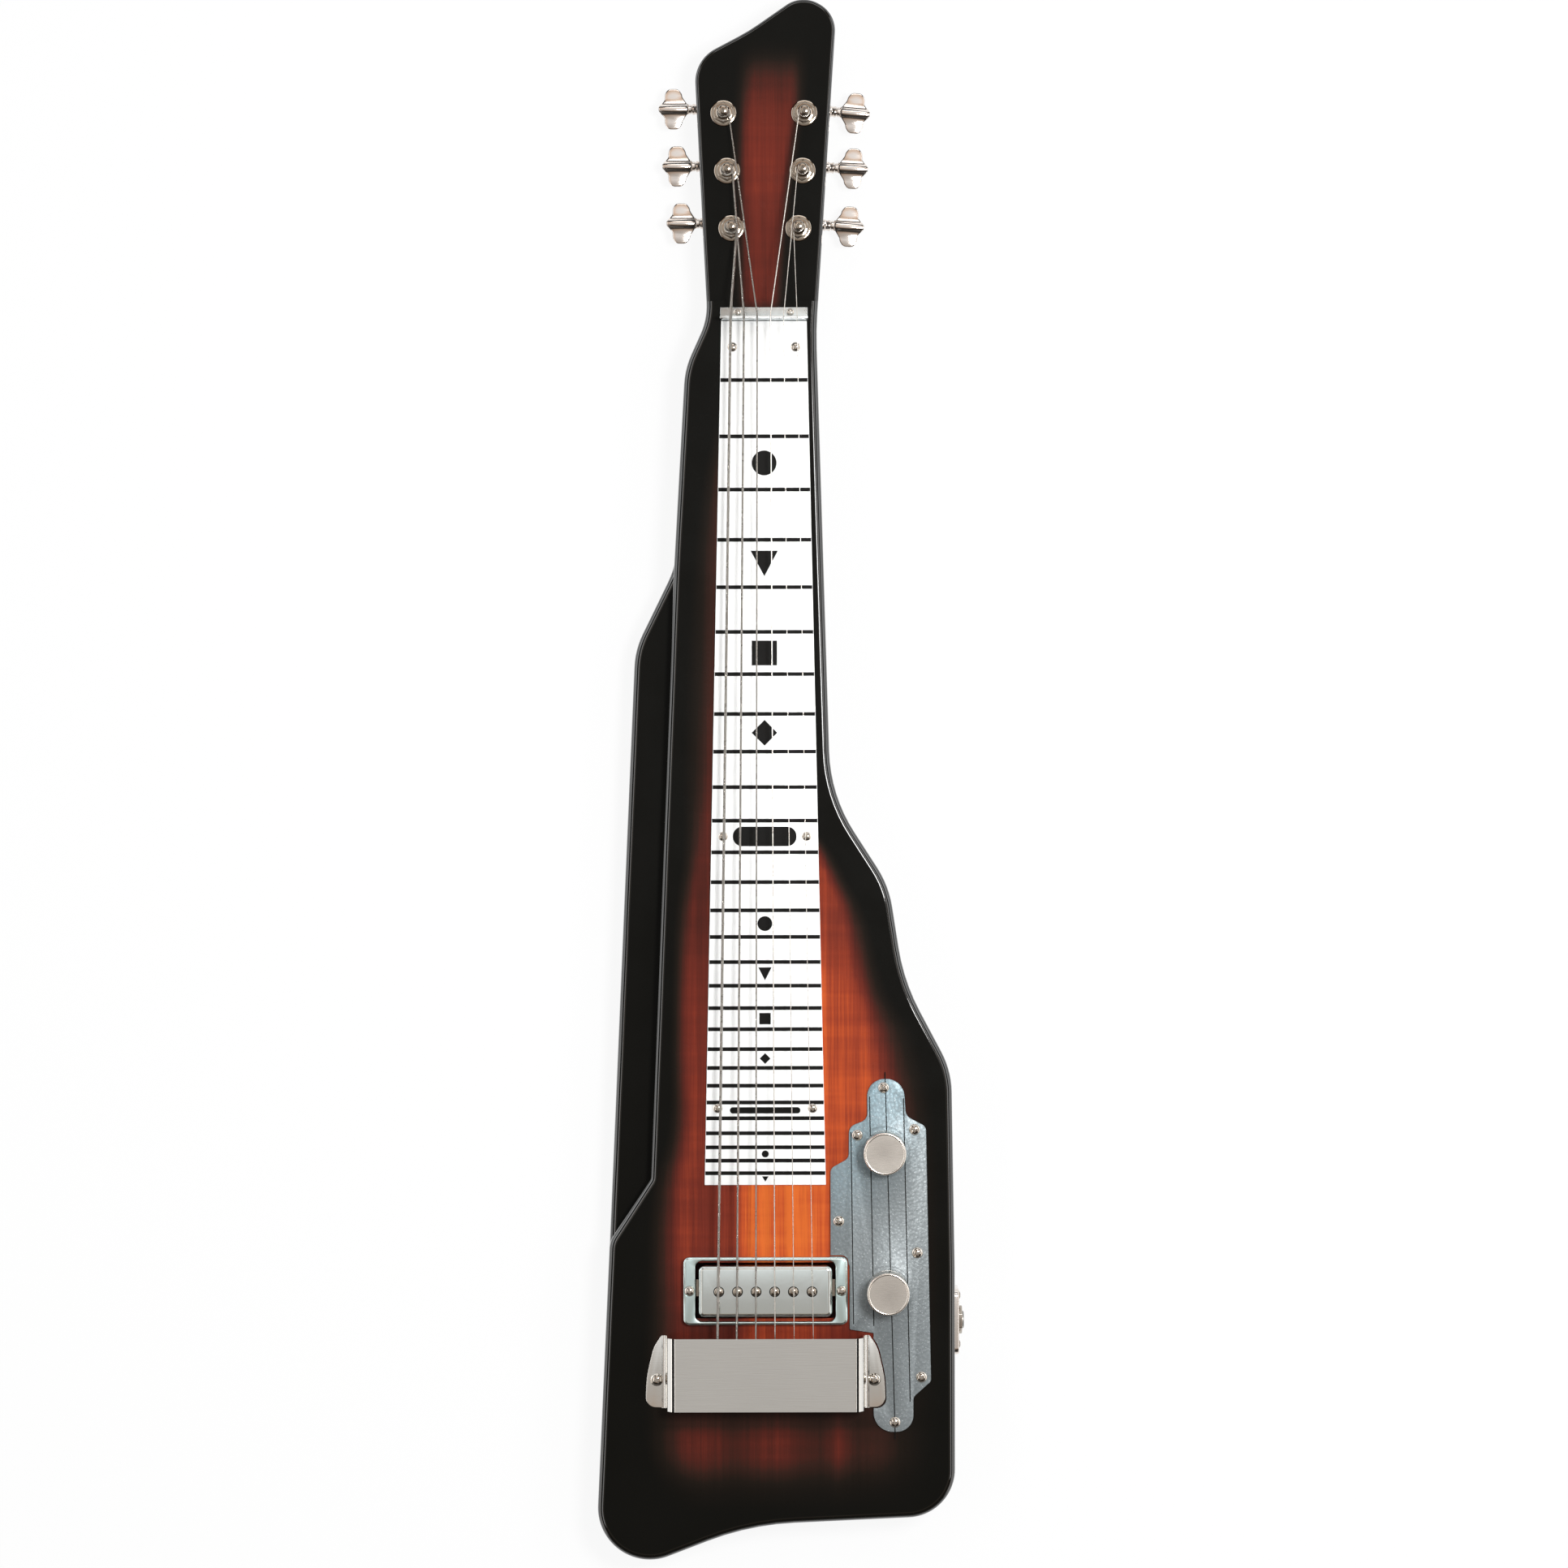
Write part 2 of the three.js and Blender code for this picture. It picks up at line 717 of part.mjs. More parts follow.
// White fret plate with its lines and position markers engraved
function markerOutline(form, y, width, height) {
  const [w, h] = [width / 2, height / 2];
  if (form === 'disc') return circle(0, y, w, boreSides);
  if (form === 'square') return rectangle(0, y, width, height, 0);
  if (form === 'pill') return rectangle(0, y, width, height, 0.96 * h, buttonBend);
  if (form === 'diamond') return rounded([[w, y, 0], [0, y + h, 0], [-w, y, 0], [0, y - h, 0]], sheetBend);
  return rounded([[0, y - h, 0], [w, y + h, 0], [-w, y + h, 0]], sheetBend);
}

function fretPlateHalf(y) {
  const end = fretPlace(lastFret + 1);
  const share = (y - end) / (scaleLength - end);
  return THREE.MathUtils.lerp(fretPlateEndWidth, fretPlateNutWidth, share) / 2;
}

function makeFretPlate() {
  const top = scaleLength - seatGap;
  const end = fretPlace(lastFret + 1);
  const [wide, narrow] = [fretPlateEndWidth / 2, fretPlateHalf(top)];
  const sheet = rounded([[wide, end, 0], [narrow, top, 0], [-narrow, top, 0], [-wide, end, 0]], sheetBend);
  const grooveZ = fretTopZ - engraveDepth;
  const tools = [];
  for (let fret = 1; fret <= lastFret; fret++) {
    const line = rectangle(0, fretPlace(fret), fretPlateEndWidth + overrun, fretLineWidth, 0);
    tools.push(slab(line, grooveZ, fretTopZ + overrun));
  }
  markerShares.forEach(([fret, form, width, height]) => {
    const y = (fretPlace(fret - 1) + fretPlace(fret)) / 2;
    const outline = markerOutline(form, y, width * markerSize, height * markerSize);
    tools.push(slab(outline, grooveZ, fretTopZ + overrun));
  });
  fretScrewShares.forEach((share) => {
    const y = stationY(share);
    [-1, 1].forEach((side) => {
      const hole = circle(side * (fretPlateHalf(y) - fretScrewInset), y, fretScrewHole, rodSides);
      tools.push(slab(hole, topZ - overrun, fretTopZ + overrun));
    });
  });
  addPiece('fret_plate', cut(solid(slab(sheet, topZ, fretTopZ)), ...tools), whitePlate);
}

// Nut: an angle of aluminium, with a slot for each string
function nutStringZ(k) {
  return topZ + nutAction + stringGap + gauges[k] / 2;
}

function makeNut() {
  const wallTop = topZ + nutAction + nutLip;
  const profile = [
    [scaleLength, topZ],
    [scaleLength + nutFoot, topZ],
    [scaleLength + nutFoot, topZ + nutSheet],
    [scaleLength + nutWall, topZ + nutSheet],
    [scaleLength + nutWall, wallTop],
    [scaleLength, wallTop],
  ].map(([y, z]) => new THREE.Vector2(y, z));
  const tools = stringNumbers.map((k) => {
    const wide = gauges[k] + 2 * stringGap;
    const slot = rectangle(stringOffset(k) * nutSpacing, scaleLength + nutWall / 2, wide, nutFoot, 0);
    return slab(slot, topZ + nutAction, wallTop + overrun);
  });
  [-1, 1].forEach((side) => {
    const hole = circle(side * nutScrewX, nutScrewPlace(), shankShare * nutScrewHead + seatGap, rodSides);
    tools.push(slab(hole, topZ - overrun, topZ + nutSheet + overrun));
  });
  addPiece('nut', cut(solid(alongX(profile, -nutWidth / 2, nutWidth / 2)), ...tools), aluminium);
  [['left', -1], ['right', 1]].forEach(([word, side]) => {
    const place = addPlace(side * nutScrewX, nutScrewPlace(), topZ + nutSheet);
    addPiece(`nut_screw_${word}`, screw(nutScrewHead, nutSheet), nickel, place);
  });
}

// Bridge: a base with two cheeks and an anchor lip, a saddle bar, and the cover over them
const saddleTopZ = topZ + saddleAction;
const saddleZ = saddleTopZ - saddleRadius;
const anchorZ = topZ + anchorHeight;
const saddleStringX = (k) => stringOffset(k) * saddleSpacing;

function makeBridge() {
  const baseTop = topZ + bridgeBaseSheet;
  const lipFront = lipThickness - lipPlace;
  const baseProfile = [
    [-lipPlace, topZ],
    [bridgeBaseFront, topZ],
    [bridgeBaseFront, baseTop],
    [lipFront, baseTop],
    [lipFront, topZ + lipHeight],
    [-lipPlace, topZ + lipHeight],
  ].map(([y, z]) => new THREE.Vector2(y, z));
  const half = saddleLength / 2 + seatGap;
  let base = solid(alongX(baseProfile, -half, half));
  [-1, 1].forEach((side) => {
    const middle = side * (half - cheekThickness / 2);
    const cheek = rectangle(middle, 0, cheekThickness, cheekDepth, 0);
    base = base.add(solid(slab(cheek, topZ, saddleTopZ + cheekRise)));
  });
  base = cut(base, alongX(circle(0, saddleZ, saddleRadius + runGap, manySides), -half - overrun, half + overrun));
  stringNumbers.forEach((k) => {
    const radius = gauges[k] / 2 + 2 * stringGap;
    const hole = circle(saddleStringX(k), anchorZ, radius, rodSides);
    base = cut(base, alongY(hole, -lipPlace - overrun, lipFront + overrun));
  });
  addPiece('bridge_base', base, zincPlate);
  addPiece('saddle_bar', alongX(circle(0, saddleZ, saddleRadius, manySides), -saddleLength / 2, saddleLength / 2), chrome);

  const coverTop = topZ + coverHeight;
  const shell = (sheet, low) => rounded([
    [coverFootWidth / 2 - sheet, low, 0],
    [coverTopWidth / 2 - sheet, coverTop - sheet, coverShoulder - sheet],
    [sheet - coverTopWidth / 2, coverTop - sheet, coverShoulder - sheet],
    [sheet - coverFootWidth / 2, low, 0],
  ], sheetBend);
  const coverFront = coverLength - coverBack;
  const outer = alongY(shell(0, topZ), -coverBack, coverFront);
  const inner = alongY(shell(coverSheet, topZ - overrun), -coverBack - overrun, coverFront + overrun);
  const feet = [-1, 1].map((side) => slab(coverFootOutline(0, side), topZ, coverFootZ));
  const holes = [-1, 1].map((side) => {
    const radius = shankShare * coverScrewHead + seatGap;
    const hole = circle(side * coverScrewX, coverScrewY, radius, rodSides);
    return slab(hole, topZ - overrun, coverFootZ + overrun);
  });
  const shellSolid = cut(solid(outer), inner);
  const cover = cut(shellSolid.add(solid(feet[0])).add(solid(feet[1])), ...holes);
  addPiece('bridge_cover', cover, chrome);
  [['left', -1], ['right', 1]].forEach(([word, side]) => {
    const place = addPlace(side * coverScrewX, coverScrewY, coverFootZ);
    addPiece(`cover_screw_${word}`, screw(coverScrewHead, coverSheet), nickel, place);
  });
}

// Pickup: a ring, a cover over a wound bobbin, and a base that carries six pole screws
function makePickup() {
  const ring = cut(
    solid(block(ringOutline(0), roundedLevels(topZ, ringTopZ, 0, ringEdge))),
    slab(rectangle(0, pickupPlace, windowLength, windowWidth, ringRound), topZ - overrun, ringTopZ + overrun),
    ...[-1, 1].map((side) => {
      const radius = shankShare * pickupScrewHead + seatGap;
      const hole = circle(side * pickupScrewX, pickupPlace, radius, rodSides);
      return slab(hole, topZ - overrun, ringTopZ + overrun);
    }),
  );
  addPiece('pickup_ring', ring, ringMetal);

  const coverTop = topZ + pickupRise;
  const coverLow = coverTop - pickupTall;
  const topRound = pickupTaper;
  const coverOutline = rectangle(0, pickupPlace, pickupLength, pickupWidth, pickupRound);
  const coverBlock = block(coverOutline, [
    [coverLow, 0],
    [coverTop - 2 * topRound, 0],
    [coverTop - topRound, 0.35 * topRound],
    [coverTop, 1.5 * topRound],
  ]);
  const hollow = block(coverOutline, [
    [coverLow - overrun, pickupSheet],
    [coverTop - 2 * topRound, pickupSheet],
    [coverTop - pickupSheet, 1.5 * topRound + pickupSheet],
  ]);
  const poleX = stringNumbers.map((k) => stringOffset(k) * poleSpacing);
  const poleHole = (x, low, high) => slab(circle(x, pickupPlace, poleRadius + seatGap, rodSides), low, high);
  const coverHoles = poleX.map((x) => poleHole(x, coverTop - 3 * topRound, coverTop + overrun));
  addPiece('pickup_cover', cut(solid(coverBlock), hollow, ...coverHoles), chrome);

  const baseLow = coverLow - pickupBaseSheet;
  const base = joined(
    slab(rectangle(0, pickupPlace, pickupLength, pickupWidth, pickupRound), baseLow, coverLow),
    slab(rectangle(0, pickupPlace, pickupEarLength, pickupEarWidth, pickupRound), baseLow, coverLow),
    ...poleX.map((x) => {
      const high = coverTop + poleStand;
      const shank = poleRadius / 2;
      return turned([
        [0, baseLow],
        [shank, baseLow],
        [shank, coverTop - 3 * topRound],
        [poleRadius, coverTop - 3 * topRound],
        [poleRadius, high],
        [0, high],
      ], rodSides).translate(x, pickupPlace, 0);
    }),
  );
  const earHoles = [-1, 1].map((side) => {
    const radius = shankShare * pickupScrewHead + seatGap;
    const hole = circle(side * pickupScrewX, pickupPlace, radius, rodSides);
    return slab(hole, baseLow - overrun, coverLow + overrun);
  });
  addPiece('pickup_baseplate', cut(base, ...earHoles), nickel);

  const magnetTop = coverLow + magnetHeight;
  const magnetY = pickupPlace + (poleRadius + magnetWidth) / 2;
  const magnet = slab(rectangle(0, magnetY, magnetLength, magnetWidth, 0), coverLow, magnetTop);
  addPiece('pickup_magnet', magnet, magnetGrey);

  const bobbinHigh = coverTop - 3 * topRound - seatGap;
  const bobbinOutline = rectangle(0, pickupPlace, bobbinLength, bobbinWidth, bobbinWidth / 2.5);
  const bobbin = slab(bobbinOutline, magnetTop, bobbinHigh);
  const bobbinHoles = poleX.map((x) => {
    const hole = circle(x, pickupPlace, poleRadius / 2 + seatGap, rodSides);
    return slab(hole, magnetTop - overrun, bobbinHigh + overrun);
  });
  addPiece('pickup_bobbin', cut(solid(bobbin), ...bobbinHoles), blackPlastic);

  const pickupScrewReach = ringTopZ - baseLow + 2 * pickupBaseSheet - shankLengthShare * pickupScrewHead;
  [['left', -1], ['right', 1]].forEach(([word, side]) => {
    const place = addPlace(side * pickupScrewX, pickupPlace, ringTopZ);
    addPiece(`pickup_screw_${word}`, screw(pickupScrewHead, pickupScrewReach), nickel, place);
  });
}

// Control plate, cut around the pickup ring and the ear of the bridge cover
function makeControlPlate() {
  const corners = controlShares.map((share) => {
    const { x, y } = controlPoint(share);
    return [x, y, share[2] * controlWidth];
  });
  const low = topZ - overrun;
  const high = controlTopZ + overrun;
  const lines = controlLineShares.map(([startAcross, startAlong, endAcross, endAlong]) => {
    const start = controlPoint([startAcross, startAlong]);
    const end = controlPoint([endAcross, endAlong]);
    const length = start.distanceTo(end);
    const turn = Math.atan2(end.y - start.y, end.x - start.x);
    return slab(rectangle(0, 0, length, controlLineWidth, 0), controlTopZ - engraveDepth, high)
      .rotateZ(turn)
      .translate((start.x + end.x) / 2, (start.y + end.y) / 2, 0);
  });
  const holes = controlScrewShares.map((share) => {
    const { x, y } = controlPoint(share);
    return slab(circle(x, y, controlScrewHole, rodSides), low, high);
  });
  const bushHoles = [volumePlace, tonePlace].map(({ x, y }) => {
    return slab(circle(x, y, potBush + seatGap, manySides), low, high);
  });
  const plate = cut(
    solid(slab(rounded(corners, sheetBend), topZ, controlTopZ)),
    slab(ringOutline(controlClear), low, high),
    slab(coverFootOutline(controlClear, 1), low, high),
    ...bushHoles,
    ...holes,
    ...lines,
  );
  addPiece('control_plate', plate, hammertone);
}

// A potentiometer hung under the control plate, with its nut, shaft and knob
function makeControl(word, { x, y }) {
  const place = addPlace(x, y, controlTopZ);
  const canTop = -controlSheet - seatGap;
  const canLow = canTop - potDepth;
  const can = turned([
    [0, canLow],
    [potRadius, canLow],
    [potRadius, canTop],
    [potBush, canTop],
    [potBush, potBushRise],
    [0, potBushRise],
  ], manySides);
  const lugs = [-1, 0, 1].map((k) => {
    const outline = rectangle(k * lugSpacing, lugLength / 4 - potRadius, lugWidth, lugLength, 0);
    return slab(outline, canTop - 2 * lugSheet, canTop - lugSheet);
  });
  const boreLow = canTop - potBoreDepth;
  const bore = slab(circle(0, 0, potShaftRadius + runGap, manySides), boreLow, potBushRise + overrun);
  addPiece(`${word}_pot`, cut(joined(can, ...lugs), bore), zincPlate, place);

  const nutHole = slab(circle(0, 0, potBush + runGap, manySides), -overrun, potNutHeight + overrun);
  addPiece(`${word}_pot_nut`, cut(solid(slab(hexagon(0, 0, potNutAcross), 0, potNutHeight)), nutHole), nickel, place);

  const shaft = slab(circle(0, 0, potShaftRadius, rodSides), boreLow + seatGap, potShaftRise);
  addPiece(`${word}_shaft`, shaft, steel, place);

  const knobTop = knobLift + knobHeight;
  const recessTop = knobLift + knobRecessDepth;
  const shaftHole = potShaftRadius + knobFit;
  const knob = turned([
    [knobRecessRadius, knobLift],
    [knobRadius, knobLift],
    [knobRadius, knobTop - knobBevel],
    [knobRadius - knobBevel, knobTop],
    [0, knobTop],
    [0, recessTop],
    [knobRecessRadius, recessTop],
    [knobRecessRadius, knobLift],
  ], knobSides);
  const shaftSeat = slab(circle(0, 0, shaftHole, rodSides), knobLift, potShaftRise + seatGap);
  addPiece(`${word}_knob`, cut(solid(knob), shaftSeat), nickel, place);
}

// Jack on the treble side wall
function makeJack() {
  const place = addPlace(wallX, jackPlace, jackZ);
  const plate = alongX(rectangle(0, 0, jackPlateLength, jackPlateTall, jackPlateRound), 0, jackPlateSheet);
  const plateHoles = [
    alongX(circle(0, 0, jackBush + seatGap, rodSides), -overrun, jackPlateSheet + overrun),
    ...[-1, 1].map((side) => {
      const hole = circle(side * jackScrewPlace, 0, jackScrewHole, rodSides);
      return alongX(hole, -overrun, jackPlateSheet + overrun);
    }),
  ];
  addPiece('jack_plate', cut(solid(plate), ...plateHoles), nickel, place);
  const bushEnd = jackPlateSheet + jackBushReach;
  const socket = joined(
    alongX(circle(0, 0, jackBarrelRadius, rodSides), -jackBarrelLength, -seatGap),
    alongX(circle(0, 0, jackBush, rodSides), -2 * seatGap, bushEnd),
  );
  const bore = alongX(circle(0, 0, jackBore, boreSides), jackEndWall - jackBarrelLength, bushEnd + overrun);
  addPiece('jack_socket', cut(socket, bore), steel, place);
  const nut = alongX(hexagon(0, 0, jackNutAcross), jackPlateSheet, jackPlateSheet + jackNutSheet);
  const nutHole = alongX(circle(0, 0, jackBush + runGap, rodSides), 0, bushEnd + overrun);
  addPiece('jack_nut', cut(solid(nut), nutHole), nickel, place);
}

// Worm wheel on the foot of a string post; its teeth lean with the worm's thread
const toothSlope = Math.tan(THREE.MathUtils.degToRad(22));
const toothHalf = 0.2 * gearPitch; // half a tooth at the pitch line, which leaves running clearance

function wormWheel() {
  const rootRadius = wheelPitchRadius - toothDrop;
  const tipRadius = wheelPitchRadius + toothRise;
  const rootHalf = (toothHalf + toothDrop * toothSlope) / rootRadius;
  const tipHalf = (toothHalf - toothRise * toothSlope) / tipRadius;
  const lean = Math.asin(wheelThickness / 2 / wormPitchRadius) * (gearPitch / (2 * Math.PI));
  const leanAngle = lean / wheelPitchRadius;
  const rings = [-1, 1].map((level) => {
    const ring = [];
    for (let tooth = 0; tooth < wheelTeeth; tooth++) {
      const middle = Math.PI / 2 + (2 * Math.PI * tooth) / wheelTeeth + level * leanAngle;
      const flank = [[rootRadius, -rootHalf], [tipRadius, -tipHalf], [tipRadius, tipHalf], [rootRadius, rootHalf]];
      flank.forEach(([radius, angle]) => {
        const z = shaftZ + (level * wheelThickness) / 2;
        ring.push(new THREE.Vector3(radius * Math.cos(middle + angle), radius * Math.sin(middle + angle), z));
      });
    }
    return ring;
  });
  const caps = rings.map((ring) => THREE.ShapeUtils.triangulateShape(ring.map((at) => new THREE.Vector2(at.x, at.y)), []));
  return skin(rings, caps[0], caps[1]);
}

// Worm thread: a ridge that climbs round the shaft, with tapered ends
function wormThread() {
  const turns = 2;
  const stepsPerTurn = 8;
  const steps = turns * stepsPerTurn;
  const sunk = wormPitchRadius - toothDrop - 0.3 * gearModule;
  const rings = [];
  for (let step = 0; step <= steps; step++) {
    const angle = 2 * Math.PI * (step / stepsPerTurn - turns / 2);
    const x = (gearPitch * angle) / (2 * Math.PI);
    const full = step > 0 && step < steps;
    const tip = full ? wormPitchRadius + toothRise : wormPitchRadius - toothDrop / 2;
    const sunkHalf = toothHalf + (wormPitchRadius - sunk) * toothSlope;
    const tipHalf = toothHalf - (tip - wormPitchRadius) * toothSlope;
    const section = [[-sunkHalf, sunk], [sunkHalf, sunk], [tipHalf, tip], [-tipHalf, tip]];
    rings.push(section.map(([along, radius]) => {
      const y = gearDistance + radius * Math.cos(angle);
      return new THREE.Vector3(x + along, y, shaftZ + radius * Math.sin(angle));
    }));
  }
  return skin(rings, fan(4), fan(4));
}

const wormReach = 1.25 * gearPitch; // half the length of the worm
const wormChamber = wormReach + pivotLength / 3;
const threadedRadius = wormPitchRadius - toothDrop;

function makePost() {
  const low = shaftZ - housingDepth / 2 + pivotLength / 2 + runGap;
  const shoulder = shaftZ + wheelThickness;
  const windTop = bushTop + windHeight;
  const capTop = windTop + capHeight;
  const stem = turned([
    [0, low],
    [postFoot, low],
    [postFoot, shoulder - runGap],
    [postRadius, shoulder],
    [postRadius, bushTop + runGap],
    [windRadius, bushTop + 2 * runGap],
    [windRadius, windTop],
    [capRadius, windTop + 0.25 * capHeight],
    [capRadius, capTop - 0.35 * capHeight],
    [0.72 * capRadius, capTop],
    [0, capTop],
  ], rodSides);
  return joined(stem, wormWheel());
}

function makeButton() {
  const half = buttonShares.map(([along, across, round]) => {
    return [buttonStart + along * buttonLength, (across * buttonWidth) / 2, round * buttonLength];
  });
  const corners = [
    ...half.map(([x, y, round]) => [x, gearDistance - y, round]),
    ...half.map(([x, y, round]) => [x, gearDistance + y, round]).reverse(),
  ];
  const leaf = slab(rounded(corners, buttonBend), shaftZ - buttonSheet / 2, shaftZ + buttonSheet / 2);
  const ribEnd = buttonStart + 0.93 * buttonLength;
  const shaft = turned([
    [0, -wormReach - pivotLength],
    [pivotRadius, -wormReach - pivotLength],
    [pivotRadius, -wormReach],
    [threadedRadius, -wormReach],
    [threadedRadius, wormReach],
    [shaftRadius, wormReach + runGap],
    [shaftRadius, collarReach + 2 * runGap],
    [neckRadius, collarReach + 3 * runGap],
    [buttonRib, buttonStart + buttonEdge],
    [buttonRib, ribEnd - 2 * buttonEdge],
    [0.6 * buttonRib, ribEnd],
    [0, ribEnd],
  ], rodSides).rotateY(Math.PI / 2).translate(0, gearDistance, shaftZ);
  return joined(shaft, wormThread(), leaf);
}

function makeHousing() {
  const back = -housingDepth;
  const far = gearDistance + housingSide - 1.2 * gearModule;
  const outline = rounded([
    [housingOuter, -housingSide, housingRound],
    [housingOuter, far, housingRound],
    [-housingInner, far, housingRound],
    [-housingInner, -housingSide, housingRound],
  ], buttonBend);
  const shell = joined(
    block(outline, [[back, housingEdge], [back + housingEdge, 0], [0, 0]]),
    alongX(circle(gearDistance, shaftZ, collarRadius, rodSides), housingOuter - housingRound, collarReach),
  );
  const chamberHalf = wheelThickness - runGap;
  return cut(
    shell,
    slab(circle(0, 0, wheelPitchRadius + 2 * toothRise, boreSides), shaftZ - chamberHalf, shaftZ + chamberHalf),
    alongX(circle(gearDistance, shaftZ, wormPitchRadius + 2 * toothRise, rodSides), -wormChamber, wormChamber),
    slab(circle(0, 0, postRadius + runGap, boreSides), shaftZ, overrun),
    slab(circle(0, 0, postFoot + runGap, rodSides), back + pivotLength / 2, shaftZ),
    alongX(circle(gearDistance, shaftZ, shaftRadius + runGap, rodSides), 0, collarReach + overrun),
    alongX(circle(gearDistance, shaftZ, pivotRadius + runGap, rodSides), -wormReach - pivotLength - runGap, 0),
  );
}

function makeBushing() {
  const washerTop = headDepth + washerSheet;
  const sleeve = turned([
    [0, seatGap],
    [bushRadius, seatGap],
    [bushRadius, headDepth],
    [washerRadius, headDepth],
    [washerRadius - washerSheet / 2, washerTop],
    [0, washerTop],
  ], boreSides);
  const nut = block(hexagon(0, 0, bushNutAcross), [
    [headDepth, 0],
    [bushTop - 0.3 * bushNutHeight, 0],
    [bushTop, 0.3 * bushNutHeight],
  ]);
  const bore = slab(circle(0, 0, postRadius + runGap, boreSides), -overrun, bushTop + overrun);
  return cut(joined(sleeve, nut), bore);
}

function makeTuners() {
  const forms = [
    ['bushing', surface(makeBushing()), nickel],
    ['housing', surface(makeHousing()), nickel],
    ['post', surface(makePost()), nickel],
    ['button', surface(makeButton()), nickel],
  ];
  stringNumbers.forEach((k) => {
    const { x, y } = postPlace(k);
    const right = postSide(k) > 0;
    const place = addPlace(x, y, headUnderZ, THREE.MathUtils.degToRad(postTurns[k]));
    forms.forEach(([word, form, material]) => {
      addPiece(`tuner_${k + 1}_${word}`, right ? form.clone() : mirrored(form), material, place);
    });
  });
}

// A string: ball end, over the saddle bar, through the nut and round its post
function stringRoute(k) {
  const radius = gauges[k] / 2;
  const x = saddleStringX(k);
  const ballFront = -lipPlace - stringGap;
  const points = [];
  const radii = [];
  const add = (px, py, pz, pr = radius) => {
    points.push(new THREE.Vector3(px, py, pz));
    radii.push(pr);
  };
  add(x, ballFront - ballLength, anchorZ, ballRadius);
  add(x, ballFront - stringGap, anchorZ, ballRadius);
  add(x, ballFront, anchorZ);
  const leaveY = lipThickness - lipPlace + stringGap;
  add(x, leaveY, anchorZ);

  const arm = saddleRadius + radius + stringGap;
  const rise = new THREE.Vector2(leaveY, anchorZ - saddleZ);
  const meet = rise.angle() - Math.acos(arm / rise.length());
  const bendSteps = 4;
  for (let step = 0; step <= bendSteps; step++) {
    const angle = THREE.MathUtils.lerp(meet, Math.PI / 2, step / bendSteps);
    add(x, arm * Math.cos(angle), saddleZ + arm * Math.sin(angle));
  }

  const nutX = stringOffset(k) * nutSpacing;
  const nutZ = nutStringZ(k);
  const nutEase = nutWall / 2;
  add(nutX, scaleLength - nutEase, nutZ);
  add(nutX, scaleLength + nutWall + nutEase, nutZ);

  const centre = postPlace(k);
  const side = -postSide(k);
  const coil = windRadius + radius + stringGap;
  const run = centre.clone().sub(new THREE.Vector2(nutX, scaleLength + nutWall + nutEase));
  const start = run.angle() - side * (Math.asin(coil / run.length()) + Math.PI / 2);
  const lowZ = headUnderZ + bushTop + windLift;
  const pitch = gauges[k] + turnGap;
  const stepsPerTurn = 12;
  const steps = Math.round(woundTurns[k] * stepsPerTurn);
  for (let step = 0; step <= steps; step++) {
    const angle = start + (side * 2 * Math.PI * step) / stepsPerTurn;
    const z = lowZ + (pitch * step) / stepsPerTurn;
    add(centre.x + coil * Math.cos(angle), centre.y + coil * Math.sin(angle), z);
  }
  return { points, radii, stepsPerTurn };
}

// Least distance between two windings of one string, on its points
function windingGap({ points, stepsPerTurn }, gauge) {
  let least = Infinity;
  for (let first = 0; first < points.length; first++) {
    for (let second = first + stepsPerTurn / 2; second < points.length; second++) {
      least = Math.min(least, points[first].distanceTo(points[second]) - gauge);
    }
  }
  return least;
}

function makeStrings() {
  stringNumbers.forEach((k) => {
    const route = stringRoute(k);
    addPiece(`string_${k + 1}`, tube(route.points, route.radii), steel);
    console.log(`string ${k + 1}: least gap between its windings ${windingGap(route, gauges[k]).toFixed(2)} mm`);
  });
}

makeBody();
makeFretPlate();
makeNut();
makeBridge();
makePickup();
makeControlPlate();
makeControl('volume', volumePlace);
makeControl('tone', tonePlace);
makeJack();
makeTuners();
makeStrings();

export default guitar;
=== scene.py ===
from math import acos, asin, atan2, cos, degrees, pi, radians, sin, tan

import bmesh
import bpy
from mathutils import Matrix, Vector


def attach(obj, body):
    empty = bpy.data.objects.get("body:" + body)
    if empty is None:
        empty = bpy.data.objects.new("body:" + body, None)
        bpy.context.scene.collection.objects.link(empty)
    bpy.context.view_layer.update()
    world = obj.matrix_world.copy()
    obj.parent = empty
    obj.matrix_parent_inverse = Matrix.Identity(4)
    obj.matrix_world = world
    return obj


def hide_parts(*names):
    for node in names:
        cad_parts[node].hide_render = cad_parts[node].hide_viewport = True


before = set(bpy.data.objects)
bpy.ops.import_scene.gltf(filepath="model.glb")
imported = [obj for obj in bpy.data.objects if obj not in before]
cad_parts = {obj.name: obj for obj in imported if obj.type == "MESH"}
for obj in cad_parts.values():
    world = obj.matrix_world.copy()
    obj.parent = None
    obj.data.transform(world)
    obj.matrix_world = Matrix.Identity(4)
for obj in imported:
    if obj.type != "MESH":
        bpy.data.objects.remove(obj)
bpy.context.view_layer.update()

scene = bpy.context.scene
mm = 0.001  # pieces are drawn in millimetres and scaled once, when they are finished
cutLow, cutHigh = 30.0, 60.0  # heights between which a cutter runs through all that lies on the body
print("frame loaded")


def placed(name, data):
    obj = bpy.data.objects.new(name, data)
    scene.collection.objects.link(obj)
    return obj


# Camera: straight above the strings, headstock up
cameraSet = {"x": 10.4, "y": 322.4, "height": 2539.5, "roll": -0.0016, "wide": 842.2, "plane": 39.5,
             "sensor": 36.0}


